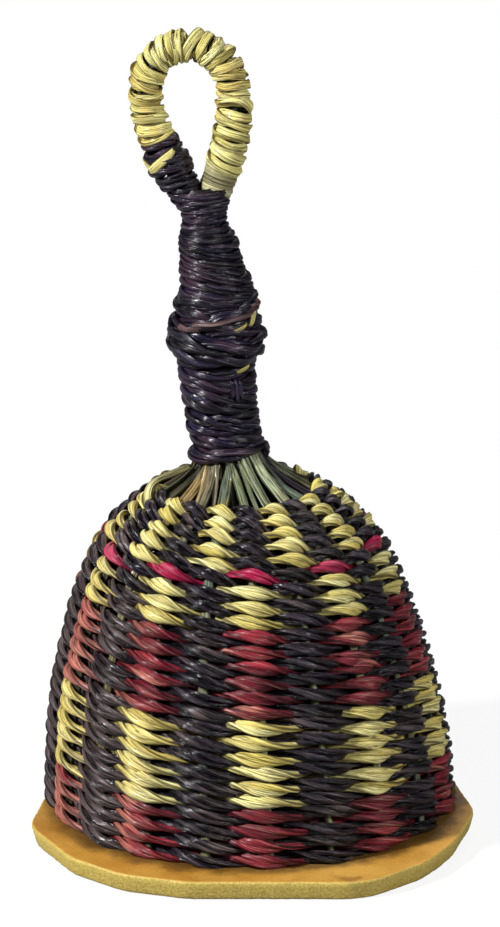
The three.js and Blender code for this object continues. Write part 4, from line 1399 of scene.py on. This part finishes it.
leg_strips = straw_piece("slanting_leg_strips", strip_straws, weft_finishes["yellow"], crease=0.3, seed=7)
for piece, slot in ((leg_binding, "straw_dark"), (leg_strips, "straw_yellow")):
    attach(piece, "basket")
    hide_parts("leg_binding")

# The loop binding: soft yellow straw, two flat straws together, wound round the loop and crumpled where
# it is drawn tight, with dark gaps where turns part. On the right leg it ends in thin khaki turns.
LOOP_RADII = (
    (0.19, 4.2),
    (0.3, 3.9),
    (0.5, 3.8),
    (0.7, 4.0),
    (0.82, 4.4),
    (0.9, 4.6),
    (0.95, 4.1),
    (1.0, 3.7),
)
LOOP_WINDING = {
    "ends": (0.203, 0.872),
    "turns": 27,
    "waver": (60, 0.004),
    "swell": (150, 0.2),
    "tilt": (27, 0.006),
}
LOOP_STRAND = {
    "straws": 2,
    "apart": 0.8,
    "twist_length": 34.0,
    "half_width": 1.2,
    "half_depth": 0.5,
    "tone": 0.5,
}
THIN_INSET = 0.3
THIN_WINDING = {"ends": (0.872, 0.962), "turns": 9, "waver": (12, 0.002), "swell": (20, 0.12)}
THIN_SHADE = 0.6
THIN_SHADE_WAVER = (8, 0.3)
THIN_HALF_SIZES = (0.62, 0.5)
loop_finish = straw_finish(
    "straw_loop",
    ((204, 188, 98), (247, 241, 164), (218, 186, 94), (52, 40, 12), (254, 250, 204)),
    roughness=(0.46, 0.3),
    relief=0.7,
)
khaki_finish = straw_finish(
    "straw_khaki",
    ((134, 126, 84), (208, 202, 152), (150, 140, 88), (44, 40, 22), (230, 226, 190)),
    roughness=(0.46, 0.3),
)
loop_draws = np.random.default_rng(47)
loop_points, loop_facing = loop_winding(loop_draws, LOOP_RADII, **LOOP_WINDING)
loop_straws = twisted_strand(loop_points, loop_facing, loop_draws, **LOOP_STRAND)
loop_binding = straw_piece(
    "wound_loop_binding", loop_straws, loop_finish, crease=0.4, pleats=0.8, ripple=0.4, seed=8, cuts=36
)
thin_radii = [(spot, radius - THIN_INSET) for spot, radius in LOOP_RADII]
thin_points, thin_facing = loop_winding(loop_draws, thin_radii, **THIN_WINDING)
thin_shade = THIN_SHADE + wandering(loop_draws, len(thin_points), *THIN_SHADE_WAVER)
thin_straw = strand(thin_points, thin_facing, *THIN_HALF_SIZES, np.clip(thin_shade, 0, 1))
thin_binding = straw_piece("thin_loop_turns", [thin_straw], khaki_finish, seed=9, cuts=6)
for piece in (loop_binding, thin_binding):
    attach(piece, "basket")
    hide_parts("loop_binding")

# The seeds: a dozen hard bean-shaped seeds, brown and faintly mottled, that lie loose on the disc
# inside the basket and make the sound when it is shaken.
SEED_RINGS = 16
SEED_SIDES = 24
SEED_HOLLOW = 0.16
SEED_HOLLOW_REACH = 0.35
SEED_TAKEN_IN = 0.98
SEED_MOTTLE = (420, 5)
SEED_SPREAD = (0.35, 0.68)
SEED_BROWN = ((70, 34, 20), (136, 82, 46))
SEED_SHEEN = (0.3, 0.7, 0.25, 0.5)
SEED_BUMP_HEIGHT = 0.2
seed_finish, seed_tree = new_finish("seed_coat")
seed_place = put(seed_tree, "ShaderNodeTexCoord", output="Object")
seed_mottle = speckle(seed_tree, seed_place, *SEED_MOTTLE)
seed_share = stretch_value(seed_tree, seed_mottle, *SEED_SPREAD)
seed_surface = {
    "Base Color": blend_colour(seed_tree, seed_share, *SEED_BROWN),
    "Roughness": stretch_value(seed_tree, seed_mottle, *SEED_SHEEN),
    "Normal": bumps(seed_tree, seed_mottle, SEED_BUMP_HEIGHT),
}
fill(seed_tree, seed_tree.nodes["Principled BSDF"], seed_surface)
for seed_name in sorted(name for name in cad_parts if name.startswith("seed_")):
    seed_points = node_points(seed_name)
    centre = seed_points.mean(axis=0)
    spread = np.unique(np.round(seed_points, 6), axis=0) - centre
    axes = np.linalg.eigh(spread.T @ spread)[1]
    halves = np.abs(spread @ axes).max(axis=0)
    bean = bmesh.new()
    bmesh.ops.create_uvsphere(bean, u_segments=SEED_SIDES, v_segments=SEED_RINGS, radius=1)
    for vertex in bean.verts:
        x, y, z = vertex.co
        hollow = SEED_HOLLOW * math.exp(-((x / SEED_HOLLOW_REACH) ** 2)) * max(y, 0)
        shaped = np.array((y - hollow, SEED_TAKEN_IN * x, SEED_TAKEN_IN * z)) * halves
        vertex.co = centre + axes @ shaped
    bmesh.ops.recalc_face_normals(bean, faces=bean.faces)
    seed_mesh = bpy.data.meshes.new("bean_" + seed_name)
    bean.to_mesh(seed_mesh)
    bean.free()
    seed_mesh.shade_smooth()
    seed_mesh.materials.append(seed_finish)
    seed = shown("bean_" + seed_name, seed_mesh)
    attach(seed, seed_name)
    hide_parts(seed_name)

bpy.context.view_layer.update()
